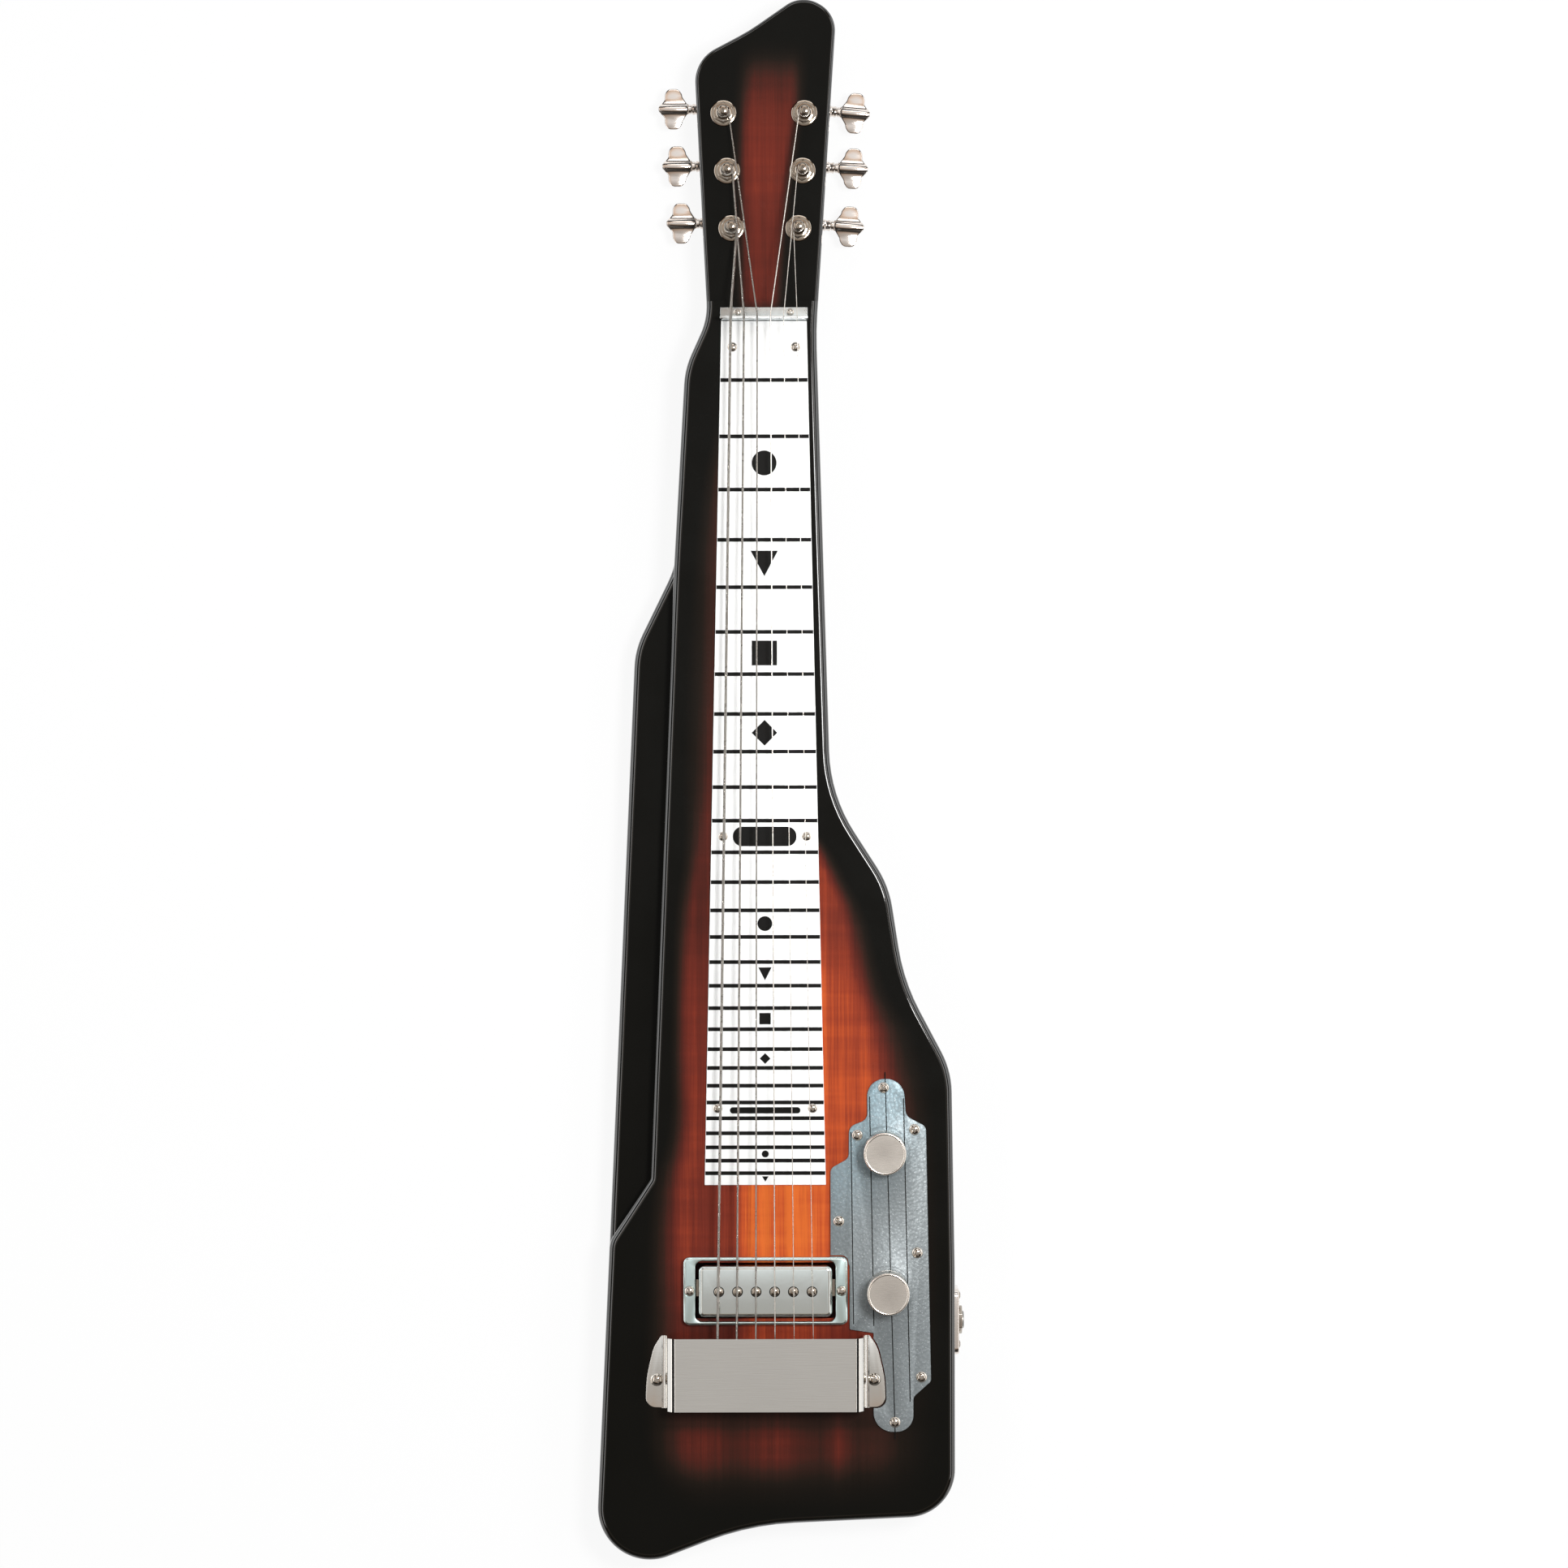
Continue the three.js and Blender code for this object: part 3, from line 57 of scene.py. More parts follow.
def makeCamera():
    s = cameraSet
    data = bpy.data.cameras.new("camera")
    data.sensor_width = s["sensor"]
    data.lens = s["sensor"] * (s["height"] - s["plane"]) / s["wide"]
    data.clip_end = 50
    camera = placed("camera", data)
    camera.location = (s["x"] * mm, s["y"] * mm, s["height"] * mm)
    camera.rotation_euler = (0, 0, s["roll"])
    scene.camera = camera


makeCamera()

# Mesh helpers
arcShare, leastArc = 0.48, 0.01  # the most of a side that an arc takes, and the least arc that is drawn


def outlineFace(bm, corners, z=0.0, bend=5.0):  # corners are (x, y, radius); each arc is a spun vertex
    ring = []
    for k, (x, y, radius) in enumerate(corners):
        at = Vector((x, y))
        back = Vector(corners[k - 1][:2]) - at
        on = Vector(corners[(k + 1) % len(corners)][:2]) - at
        turn = pi - back.angle(on)
        reach = min(radius * tan(turn / 2), arcShare * min(back.length, on.length))
        if reach < leastArc:
            ring.append(bm.verts.new((x, y, z)))
            continue
        side = 1 if back.normalized().cross(on.normalized()) < 0 else -1
        start = at + back.normalized() * reach
        centre = start + Vector((back.y, -back.x)).normalized() * side * reach / tan(turn / 2)
        first = bm.verts.new((start.x, start.y, z))
        known = len(bm.verts)
        bmesh.ops.spin(bm, geom=[first], cent=(centre.x, centre.y, z), axis=(0, 0, 1), angle=side * turn,
                       steps=max(2, round(degrees(turn) / bend)), use_duplicate=False)
        ring += [first] + list(bm.verts)[known:]
    bm.faces.new(ring)
    return bm.faces[:]


def outward(bm):
    bmesh.ops.recalc_face_normals(bm, faces=bm.faces)


def moveNew(bm, out, vec):  # moves the vertices that an extrusion made
    verts = [item for item in out["geom"] if isinstance(item, bmesh.types.BMVert)]
    bmesh.ops.translate(bm, vec=vec, verts=verts)


def extrudeFaces(bm, faces, vec):
    moveNew(bm, bmesh.ops.extrude_face_region(bm, geom=faces, use_keep_orig=True), vec)


def bevelEdges(bm, edges, width, steps, clamp=False):
    bmesh.ops.bevel(bm, geom=edges, offset=width, offset_type="OFFSET", segments=steps, profile=0.5,
                    affect="EDGES", clamp_overlap=clamp, material=-1)


def rimEdges(bm, z, least=0.5):  # the edges at one height that bend by more than the least angle
    return [edge for edge in bm.edges if all(abs(vert.co.z - z) < 1e-3 for vert in edge.verts)
            and len(edge.link_faces) == 2 and edge.calc_face_angle(0) > least]


def soften(bm, width, steps=2, sharp=30):
    bmesh.ops.remove_doubles(bm, verts=bm.verts, dist=1e-3)
    outward(bm)
    edges = [edge for edge in bm.edges
             if len(edge.link_faces) == 2 and edge.calc_face_angle(0) > radians(sharp)]
    bevelEdges(bm, edges, width, steps, clamp=True)


def slab(corners, low, high, topRound=0.0, lowRound=0.0, bend=9.0, steps=3):
    bm = bmesh.new()
    extrudeFaces(bm, outlineFace(bm, corners, low, bend), (0, 0, high - low))
    outward(bm)
    for z, width in ((high, topRound), (low, lowRound)):
        if width:
            bevelEdges(bm, rimEdges(bm, z), width, steps)
    return bm


def box(x, y, length, width, low, high, radius=0.0, **rounds):
    corners = [(x + h * length / 2, y + v * width / 2, radius)
               for h, v in ((1, -1), (1, 1), (-1, 1), (-1, -1))]
    return slab(corners, low, high, **rounds)


def turned(profile, steps=48):  # a profile of (radius, height) spun round Z
    bm = bmesh.new()
    verts = [bm.verts.new((radius, 0, height)) for radius, height in profile]
    edges = [bm.edges.new(pair) for pair in zip(verts, verts[1:])]
    bmesh.ops.spin(bm, geom=verts + edges, cent=(0, 0, 0), axis=(0, 0, 1), angle=2 * pi, steps=steps,
                   use_merge=True, use_duplicate=False)
    bmesh.ops.remove_doubles(bm, verts=bm.verts, dist=1e-4)
    outward(bm)
    return bm


def rod(radius, low, high, steps=32):
    bm = bmesh.new()
    bmesh.ops.create_cone(bm, cap_ends=True, segments=steps, radius1=radius, radius2=radius, depth=high - low)
    bmesh.ops.translate(bm, vec=(0, 0, (high + low) / 2), verts=bm.verts)
    return bm


def hexBlock(across, low, high):
    return rod(across / 2 / cos(pi / 6), low, high, 6)


def moved(bm, x=0.0, y=0.0, z=0.0, turn=0.0, tilt=None):  # the tilt is an axis and its angle, and comes first
    for axis, angle in filter(None, (tilt, ("Z", turn))):
        bmesh.ops.rotate(bm, cent=(0, 0, 0), matrix=Matrix.Rotation(radians(angle), 3, axis), verts=bm.verts)
    bmesh.ops.translate(bm, vec=(x, y, z), verts=bm.verts)
    return bm


def meshFrom(bm, name):
    mesh = bpy.data.meshes.new(name)
    bm.to_mesh(mesh)
    bm.free()
    return mesh


def joined(*parts):
    whole = bmesh.new()
    for part in parts:
        mesh = meshFrom(part, "part")
        whole.from_mesh(mesh)
        bpy.data.meshes.remove(mesh)
    return whole


def carved(whole, tool, operation="DIFFERENCE"):
    objects = []
    for bm in (whole, tool):
        outward(bm)
        objects.append(placed("carve", meshFrom(bm, "carve")))
    modifier = objects[0].modifiers.new("carve", "BOOLEAN")
    modifier.object = objects[1]
    modifier.operation = operation
    modifier.solver = "EXACT"
    result = bmesh.new()
    result.from_object(objects[0], bpy.context.evaluated_depsgraph_get())
    for obj in objects:
        mesh = obj.data
        bpy.data.objects.remove(obj)
        bpy.data.meshes.remove(mesh)
    return result


def finishPiece(bm, name, material, replaced=(), body="guitar", sharp=32, weighted=False):
    bmesh.ops.remove_doubles(bm, verts=bm.verts, dist=1e-4)
    bmesh.ops.scale(bm, vec=(mm, mm, mm), verts=bm.verts)
    mesh = meshFrom(bm, name)
    mesh.materials.append(material)
    mesh.shade_smooth()
    mesh.set_sharp_from_angle(angle=radians(sharp))
    piece = placed(name, mesh)
    if weighted:
        modifier = piece.modifiers.new("evenNormals", "WEIGHTED_NORMAL")
        modifier.keep_sharp = True
    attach(piece, body)
    if replaced:
        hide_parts(*replaced)


# Material helpers
def linear(red, green, blue):
    def channel(value):
        share = value / 255
        return share / 12.92 if share <= 0.04045 else ((share + 0.055) / 1.055) ** 2.4
    return (channel(red), channel(green), channel(blue), 1.0)


# Nodes and sockets know their tree, which is their id_data
def plug(node, values):  # a socket is linked, three numbers are a colour, and anything else is set
    for name, value in values.items():
        if isinstance(value, bpy.types.NodeSocket):
            node.id_data.links.new(value, node.inputs[name])
        elif isinstance(value, tuple) and len(value) == 3 and node.inputs[name].type == "RGBA":
            node.inputs[name].default_value = linear(*value)
        else:
            node.inputs[name].default_value = value
    return node


def addNode(tree, kind, values=None, **settings):
    node = tree.nodes.new("ShaderNode" + kind)
    for name, value in settings.items():
        setattr(node, name, value)
    return plug(node, values or {})


def sums(operation, first, second=0.0, third=0.0):
    return addNode(first.id_data, "Math", {0: first, 1: second, 2: third}, operation=operation).outputs[0]


def times(first, second):
    return sums("MULTIPLY", first, second)


def mapped(value, fromLow, fromHigh, toLow=0.0, toHigh=1.0, smooth=False):
    spans = {"Value": value, "From Min": fromLow, "From Max": fromHigh, "To Min": toLow, "To Max": toHigh}
    return addNode(value.id_data, "MapRange", spans,
                   interpolation_type="SMOOTHSTEP" if smooth else "LINEAR").outputs["Result"]


def colourRamp(value, stops):
    node = addNode(value.id_data, "ValToRGB", {"Fac": value})
    points = node.color_ramp.elements
    points[0].position, points[0].color = stops[0]
    points[1].position, points[1].color = stops[-1]
    for place, colour in stops[1:-1]:
        points.new(place).color = colour
    return node.outputs["Color"]


def mixColours(factor, first, second):  # the mix node's colour sockets are its inputs 6 and 7 and output 2
    return addNode(factor.id_data, "Mix", {0: factor, 6: first, 7: second}, data_type="RGBA").outputs[2]


def noise(vector, scale, detail=2.0, roughness=0.5):
    return addNode(vector.id_data, "TexNoise", {"Vector": vector, "Scale": scale, "Detail": detail,
                                                "Roughness": roughness}).outputs["Fac"]


def stretched(vector, by, plus=(0, 0, 0)):
    return addNode(vector.id_data, "VectorMath", {0: vector, 1: by, 2: plus},
                   operation="MULTIPLY_ADD").outputs[0]


def parted(vector):
    return addNode(vector.id_data, "SeparateXYZ", {"Vector": vector}).outputs


def bumpFrom(height, strength, distance):
    values = {"Height": height, "Strength": strength, "Distance": distance}
    return addNode(height.id_data, "Bump", values).outputs["Normal"]


def startGroup(name, inputs, outputs):  # a vector input starts from None, a colour from four numbers
    tree = bpy.data.node_groups.new(name, "ShaderNodeTree")
    kinds = {float: "NodeSocketFloat", tuple: "NodeSocketColor", type(None): "NodeSocketVector"}
    for label, value in inputs.items():
        socket = tree.interface.new_socket(name=label, in_out="INPUT", socket_type=kinds[type(value)])
        if value is not None:
            socket.default_value = value
    for label, kind in outputs.items():
        tree.interface.new_socket(name=label, in_out="OUTPUT", socket_type=kinds[kind])
    return tree, tree.nodes.new("NodeGroupInput").outputs, tree.nodes.new("NodeGroupOutput")


def useGroup(tree, group, **values):
    return addNode(tree, "Group", values, node_tree=group).outputs


# Handling marks: a cloudy roughness and a faint waviness, shared by lacquer, plastic and plated metal
def makeHandlingGroup():
    tree, given, out = startGroup("handlingMarks", {"Vector": None, "Size": 40.0, "Smooth": 0.1, "Dull": 0.2},
                                  {"Roughness": float, "Height": float})
    cloud = noise(given["Vector"], given["Size"], 5.0, 0.6)
    fine = noise(given["Vector"], times(given["Size"], 14.0))
    both = sums("MULTIPLY_ADD", fine, 0.25, mapped(cloud, 0.38, 0.66))
    plug(out, {"Roughness": mapped(both, 0.0, 1.25, given["Smooth"], given["Dull"]),
               "Height": sums("MULTIPLY_ADD", cloud, 0.5, fine)})
    return tree


# Edge tone: a painted highlight lightens convex edges, and hollows and corners are darkened
def makeEdgeGroup():
    grey = {"Colour": (0.5, 0.5, 0.5, 1.0), "Edge": (0.8, 0.8, 0.8, 1.0), "Hollow": (0.1, 0.1, 0.1, 1.0)}
    tree, given, out = startGroup("edgeHighlightTone", {**grey, "Pointed": 0.5, "Amount": 0.3}, {"Colour": tuple})
    paintedHighlight, hollow = (times(mapped(given["Pointed"], *span), given["Amount"])
                      for span in ((0.52, 0.62), (0.49, 0.4)))
    lit = mixColours(paintedHighlight, given["Colour"], given["Edge"])
    plug(out, {"Colour": mixColours(hollow, lit, given["Hollow"])})
    return tree


# Brushed lines that run along X of the vector they are given
def makeBrushGroup():
    tree, given, out = startGroup("brushedLines", {"Vector": None, "Length": 60.0, "Fineness": 2500.0},
                                  {"Mask": float})
    by = {"X": given["Length"], "Y": given["Fineness"], "Z": given["Fineness"]}
    drawn = stretched(given["Vector"], addNode(tree, "CombineXYZ", by).outputs["Vector"])
    plug(out, {"Mask": noise(drawn, 1.0, 3.0)})
    return tree


handlingMarks = makeHandlingGroup()
edgeHighlightTone = makeEdgeGroup()
brushedLines = makeBrushGroup()


def startMaterial(name, marks=None, **values):  # the marks: their size, and the least and the most roughness
    material = bpy.data.materials.new(name)
    material.use_nodes = True
    tree = material.node_tree
    shader = plug(tree.nodes["Principled BSDF"],
                  {key.replace("_", " "): value for key, value in values.items()})
    place = addNode(tree, "TexCoord").outputs["Object"]
    height = None
    if marks:
        given = dict(zip(("Size", "Smooth", "Dull"), marks))
        roughness, height = useGroup(tree, handlingMarks, Vector=place, **given)
        plug(shader, {"Roughness": roughness})
    return material, shader, place, height, tree


# Metals: a colour, the handling marks, how far brushed lines darken it, and their length and fineness.
# The bumps are a strength and a distance.
metalSet = {
    "chrome": ((230, 227, 221), (26.0, 0.08, 0.13), 0.12),
    "pickupChrome": ((220, 226, 223), (30.0, 0.11, 0.16)),
    "nickel": ((230, 220, 212), (50.0, 0.12, 0.18)), "wornNickel": ((158, 146, 132), (50.0, 0.07, 0.13)),
    "screwNickel": ((202, 193, 182), (50.0, 0.07, 0.13)), "ringGrey": ((214, 232, 230), (36.0, 0.16, 0.24)),
    "nutAluminium": ((198, 206, 208), (60.0, 0.24, 0.32), 0.4, (60.0, 3000.0)),
    "knobNickel": ((238, 230, 220), (60.0, 0.15, 0.21), 0.25, (400.0, 2200.0)),
    "zinc": ((150, 146, 138), (60.0, 0.3, 0.46)), "turnedSteel": ((140, 138, 134), (60.0, 0.22, 0.36)),
}
# The edge colour is a painted highlight on convex edges; the hollow colour darkens hollows and corners
edgeAndBrushSet = {"edge": (236, 234, 230), "hollow": (52, 46, 40), "amount": 0.45, "brushDark": 0.8,
           "brushBump": (0.08, 0.0002), "marksBump": (0.03, 0.0004)}


def makeMetal(name, rgb, marks, brushed=0.0, stretch=(60.0, 2500.0)):
    w = edgeAndBrushSet
    material, shader, place, height, tree = startMaterial(name, marks, Metallic=1.0)
    tone = linear(*rgb)
    if brushed:
        lines = useGroup(tree, brushedLines, Vector=place, Length=stretch[0], Fineness=stretch[1])["Mask"]
        dark = tuple(w["brushDark"] * part for part in tone[:3]) + (1.0,)
        tone = mixColours(mapped(lines, 0.3, 0.7, 0.0, brushed), tone, dark)
        normal = bumpFrom(lines, *w["brushBump"])
    else:
        normal = bumpFrom(height, *w["marksBump"])
    # Pointiness lightens convex edges with a painted highlight and darkens hollows
    pointed = addNode(tree, "NewGeometry").outputs["Pointiness"]
    edgeToned = useGroup(tree, edgeHighlightTone, Colour=tone, Pointed=pointed, Edge=w["edge"], Hollow=w["hollow"],
                    Amount=w["amount"])
    plug(shader, {"Base Color": edgeToned["Colour"], "Normal": normal})
    return material


metals = {name: makeMetal(name, *look) for name, look in metalSet.items()}

# Sunburst lacquer: black at the edges, through red to orange in the middle. Each curve is read along the
# instrument, and the staves are read across it. The grain has bands a few millimetres wide, fine fibres
# along the strings and a faint curl across them: how far each is stretched and shifted, its detail and
# roughness, and its share.
burst = {
    "stops": [(0.0, (14, 13, 10)), (0.15, (29, 22, 17)), (0.3, (51, 30, 24)), (0.45, (79, 34, 27)),
              (0.6, (109, 43, 32)), (0.75, (149, 60, 38)), (0.88, (190, 82, 42)), (1.0, (215, 106, 47))],
    "along": (-100.0, 760.0), "across": (-110.0, 110.0), "tailFrom": (20.0, -12.0),
    "left": [(-100, -50), (-65, -56), (-35, -66), (50, -66), (100, -63), (140, -53), (180, -52), (215, -51),
             (250, -49.5), (290, -45), (330, -45), (400, -42.6), (480, -35), (560, -20), (620, -18),
             (660, -19), (700, -17), (760, -10)],
    "leftSoft": [(-100, 30), (-35, 26), (0, 24), (100, 21), (140, 15), (180, 12), (290, 13), (330, 20),
                 (400, 21), (480, 14), (760, 14)],
    "right": [(-100, 78), (-65, 86), (-35, 93), (100, 95), (140, 93), (180, 84.5), (215, 65.6), (250, 56),
              (270, 46), (291, 34), (310, 20), (560, 12), (620, 15.5), (660, 20), (700, 25), (760, 25)],
    "rightSoft": [(-100, 40), (-35, 56), (0, 45), (140, 38), (180, 35), (215, 21), (250, 16), (291, 12),
                  (760, 14)],
    # the burst's brightness along the body, with a painted shadow of the bridge cover in the dip near y -18,
    # just behind it
    "burstAndCoverShadow": [(-100, 0), (-72, 0), (-64, 0.04), (-50, 0.36), (-42, 0.64), (-34, 0.76), (-26, 0.68),
              (-18, 0.45), (0, 0.6), (29, 0.74), (50, 0.86), (80, 1.0), (140, 1.0), (180, 0.96), (215, 0.92),
              (250, 0.75), (330, 0.76), (400, 0.66), (480, 0.62), (515, 0.22), (540, 0), (570, 0),
              (584, 0.52), (620, 0.54), (660, 0.6), (700, 0.42), (714, 0.14), (726, 0), (760, 0)],
    "staves": [(-110, 0.6), (-44, 0.65), (-34, 0.6), (-25, 0.61), (-17, 0.66), (-13, 0.78), (-9, 0.92),
               (-2, 0.98), (6, 0.94), (14, 0.98), (24, 0.92), (33, 0.86), (60, 0.82), (110, 0.8)],
    "tailStaves": [(-110, 0.55), (-50, 0.58), (-40, 0.61), (-30, 0.64), (-20, 0.49), (-10, 0.53), (3, 0.65),
                   (10, 0.64), (20, 0.48), (30, 0.43), (40, 0.64), (50, 0.46), (62, 0.62), (80, 0.6),
                   (110, 0.55)],
    "grain": [((210, 2.2, 0), (0, 0, 3.7), 3.0, 0.65, 0.22), ((1400, 26, 600), (0, 0, 0), 4.0, 0.6, 0.12),
              ((14, 150, 0), (0, 0, 1), 2.0, 0.5, 0.08)],
}


def drawnCurve(value, points, span, low=0.0, high=1.0):  # the value and the points are in millimetres
    start, end = span
    node = addNode(value.id_data, "FloatCurve", {"Value": mapped(value, start, end)})
    curve = node.mapping.curves[0]
    spots = [((at - start) / (end - start), (level - low) / (high - low)) for at, level in points]
    curve.points[0].location = spots[0]
    curve.points[1].location = spots[-1]
    for spot in spots[1:-1]:
        curve.points.new(*spot)
    node.mapping.update()
    return mapped(node.outputs["Value"], 0.0, 1.0, low, high)


def makeLacquer():
    b = burst
    material, shader, place, height, tree = startMaterial(
        "sunburstLacquer", (22.0, 0.2, 0.34), Coat_Roughness=0.03, Coat_IOR=1.8, Specular_IOR_Level=0.03)
    spots = parted(place)
    across, along = times(spots["X"], 1000.0), times(spots["Y"], 1000.0)
    reach = {name: drawnCurve(along, b[name], b["along"], *b["across"])
             for name in ("left", "leftSoft", "right", "rightSoft")}
    staves, tailStaves = (drawnCurve(across, b[name], b["across"]) for name in ("staves", "tailStaves"))
    inTail = mapped(along, *b["tailFrom"], smooth=True)
    tone = sums("MULTIPLY_ADD", sums("SUBTRACT", tailStaves, staves), inTail, staves)
    # this brightness carries the painted shadow of the bridge cover
    glow = times(drawnCurve(along, b["burstAndCoverShadow"], b["along"]), tone)
    for side, far, near in (("leftSoft", across, reach["left"]), ("rightSoft", reach["right"], across)):
        share = sums("DIVIDE", sums("SUBTRACT", far, near), reach[side])
        glow = times(glow, mapped(share, 0, 1, smooth=True))
    uneven = 0.0
    for by, plus, detail, rough, amount in b["grain"]:
        wood = noise(stretched(place, by, plus), 1.0, detail, rough)
        uneven = sums("MULTIPLY_ADD", mapped(wood, 0.3, 0.7, -0.5, 0.5), amount, uneven)
    lively = sums("MULTIPLY_ADD", glow, uneven, glow)
    facing = parted(addNode(tree, "TexCoord").outputs["Normal"])["Z"]
    plug(shader, {"Base Color": colourRamp(lively, [(at, linear(*rgb)) for at, rgb in b["stops"]]),
                  "Coat Weight": mapped(facing, 0.9995, 0.96, 0.04, 1.0),
                  "Normal": bumpFrom(height, 0.02, 0.0005)})
    return material


def makeFretPlastic():
    material, shader, place, *_ = startMaterial("fretPlastic", (30.0, 0.28, 0.42), Coat_Weight=0.3,
                                                Coat_Roughness=0.12)
    cloud = mapped(noise(place, 18.0, 4.0), 0.35, 0.7)
    plug(shader, {"Base Color": mixColours(cloud, (252, 252, 251), (246, 246, 245))})
    return material


def makeInk():
    material, shader, _, height, _ = startMaterial("inlayInk", (90.0, 0.35, 0.5), Specular_IOR_Level=0.08)
    plug(shader, {"Base Color": mixColours(height, (9, 8, 7), (17, 16, 14))})
    return material


# Hammertone paint: grey dimples with pale flecks, and a painted cool sheen that makes it paler and bluer
# toward the neck
hammerSet = {"base": ((120, 127, 129), (138, 145, 147)), "blue": (129, 155, 165), "coolSheenFrom": (0.02, 0.11),
             "dimple": (104, 110, 113), "fleck": (214, 220, 222), "cells": 620.0, "cloud": 14.0,
             "flecks": 1500.0}


def makeHammertone():
    h = hammerSet
    material, shader, place, _, tree = startMaterial("hammertone", Metallic=0.3, Coat_Weight=0.12,
                                                     Coat_Roughness=0.2)
    cells = addNode(tree, "TexVoronoi", {"Vector": place, "Scale": h["cells"], "Smoothness": 0.6},
                    feature="SMOOTH_F1").outputs["Distance"]
    spots = parted(place)
    # painted cool sheen: the blue colour is mixed in toward the neck
    sheenTowardNeck = mapped(sums("SUBTRACT", spots["Y"], spots["X"]), *h["coolSheenFrom"], smooth=True)
    base = mixColours(mapped(noise(place, h["cloud"], 3.0), 0.3, 0.7), *h["base"])
    flecks = mapped(noise(place, h["flecks"], 1.0), 0.66, 0.74, 0.0, 0.55)
    tone = mixColours(sheenTowardNeck, base, h["blue"])
    tone = mixColours(mapped(cells, 0.1, 0.75, 0.0, 0.45), tone, h["dimple"])
    plug(shader, {"Base Color": mixColours(flecks, tone, h["fleck"]), "Normal": bumpFrom(cells, 0.35, 0.0003),
                  "Roughness": mapped(cells, 0.0, 0.8, 0.36, 0.52)})
    return material


def makeStringSteel(name, wrap):  # wrap is the number of windings in a metre, or 0 for a plain string
    material, shader, place, *_ = startMaterial(name, (120.0, 0.22, 0.36), Metallic=1.0)
    if wrap:
        wave = sums("SINE", times(parted(place)["Y"], 2 * pi * wrap))
        plug(shader, {"Normal": bumpFrom(wave, 0.5, 0.0002)})
        # painted shade in the grooves between windings and a painted highlight on their crowns, along the
        # same wave as the bump
        colour = mixColours(mapped(wave, -1, 1), (154, 148, 140), (214, 208, 200))
    else:
        colour = mixColours(noise(place, 60.0), (204, 199, 192), (222, 217, 210))
    plug(shader, {"Base Color": colour})
    return material


lacquer, fretPlastic, inlayInk, hammertone = makeLacquer(), makeFretPlastic(), makeInk(), makeHammertone()
woundSteel, plainSteel = makeStringSteel("woundSteel", 3200), makeStringSteel("plainSteel", 0)
print("materials made")

# Body: a raised outline over a lower slab, with the headstock cut down and a cove behind it. The cutters
# run past the body by "clear", and the headstock's own block is "headBlock" long and wide.
bodySet = {
    "outline": [(101.9, -71.3, 26), (101.9, 62.0, 291), (100.3, 168.0, 47.9), (74.8, 216.1, 110),
                (66.8, 267.6, 55), (35.5, 316.3, 85), (28.2, 566.0, 200), (39.2, 737.9, 16.9),
                (20.6, 748.25, 16.9), (-8.2, 728.3, 100), (-37.5, 712.85, 20), (-30.5, 572.8, 36),
                (-42.6, 546.0, 46), (-47.8, 440.5, 50), (-70.0, 395.1, 45), (-92.35, -108.4, 28),
                (-8.8, -76.4, 150)],
    "step": [(-48.7, 437.0, 40), (-61.9, 110.2, 4), (-83.8, 76.4, 14)],
    "top": 38.0, "ledge": 27.0, "edge": 3.8, "headEdge": 2.2, "under": 3.0, "headTop": 32.0,
    "headUnder": 18.0, "stepY": 582.0, "lap": 4.0, "rout": (0.0, 50.3, 86.0, 30.0, 14.0, 4.0),
    "clear": 3.0, "cutWide": 300.0, "cutFar": 800.0, "headBlock": (300.0, 220.0),
}


def makeBody():
    outline, s = bodySet["outline"], bodySet
    upperOutline = outline[:13] + s["step"] + outline[15:]
    lower = slab(outline, 0, s["ledge"], s["edge"], s["under"], bend=4, steps=7)
    upper = slab(upperOutline, s["ledge"] - 2 * s["edge"], s["top"], s["edge"], bend=4, steps=7)
    whole = carved(upper, lower, "UNION")
    heel = bmesh.new()  # the profile that the headstock's cut leaves, with a cove at the heel
    side, far, radius = -s["cutWide"] / 2, s["cutFar"], s["headUnder"]
    low, high = -s["clear"], s["top"] + s["clear"]
    profile = [(s["stepY"] - radius, low), (far, low), (far, high), (s["stepY"], high), (s["stepY"], radius)]
    turns = [radians(90 + 6 * k) for k in range(1, 15)]
    profile += [(s["stepY"] + radius * cos(turn), radius * sin(turn)) for turn in turns]
    profile.append((s["stepY"] - radius, 0))
    heel.faces.new([heel.verts.new((side, y, z)) for y, z in profile])
    extrudeFaces(heel, heel.faces[:], (s["cutWide"], 0, 0))
    whole = carved(whole, heel)
    length, width = s["headBlock"]
    head = slab(outline, s["headUnder"], s["headTop"], s["headEdge"], s["under"], bend=4, steps=6)
    head = carved(head, box(0, s["stepY"] - s["lap"] + width / 2, length, width, 0, cutHigh), "INTERSECT")
    whole = carved(whole, head, "UNION")
    x, y, length, width, low, radius = s["rout"]
    whole = carved(whole, box(x, y, length, width, low, cutHigh, radius))
    finishPiece(whole, "bodyWood", lacquer, ["body"], sharp=40, weighted=True)


makeBody()
print("body made")

# Screws: a domed head with a cross recess. The slots are shares of the radius, their floor of the dome.
screwSet = {"dome": 0.5, "slotLong": 1.05, "slotWide": 0.22, "slotFloor": 0.22, "between": 37}


def screwHead(radius):
    s = screwSet
    dome = s["dome"] * radius
    head = turned([(0, dome), (0.3 * radius, 0.98 * dome), (0.62 * radius, 0.82 * dome),
                   (0.87 * radius, 0.46 * dome), (radius, 0.06 * radius), (0.97 * radius, 0), (0, 0)], 32)
    for turn in (0, 90):
        slot = box(0, 0, s["slotLong"] * radius, s["slotWide"] * radius, s["slotFloor"] * dome, radius)
        head = carved(head, moved(slot, turn=turn))
    return head


def addScrews(name, places, radius, z, replaced=(), turn=20):
    parts = [moved(screwHead(radius), x, y, z, turn=turn + screwSet["between"] * k)
             for k, (x, y) in enumerate(places)]
    finishPiece(joined(*parts), name, metals["screwNickel"], replaced)


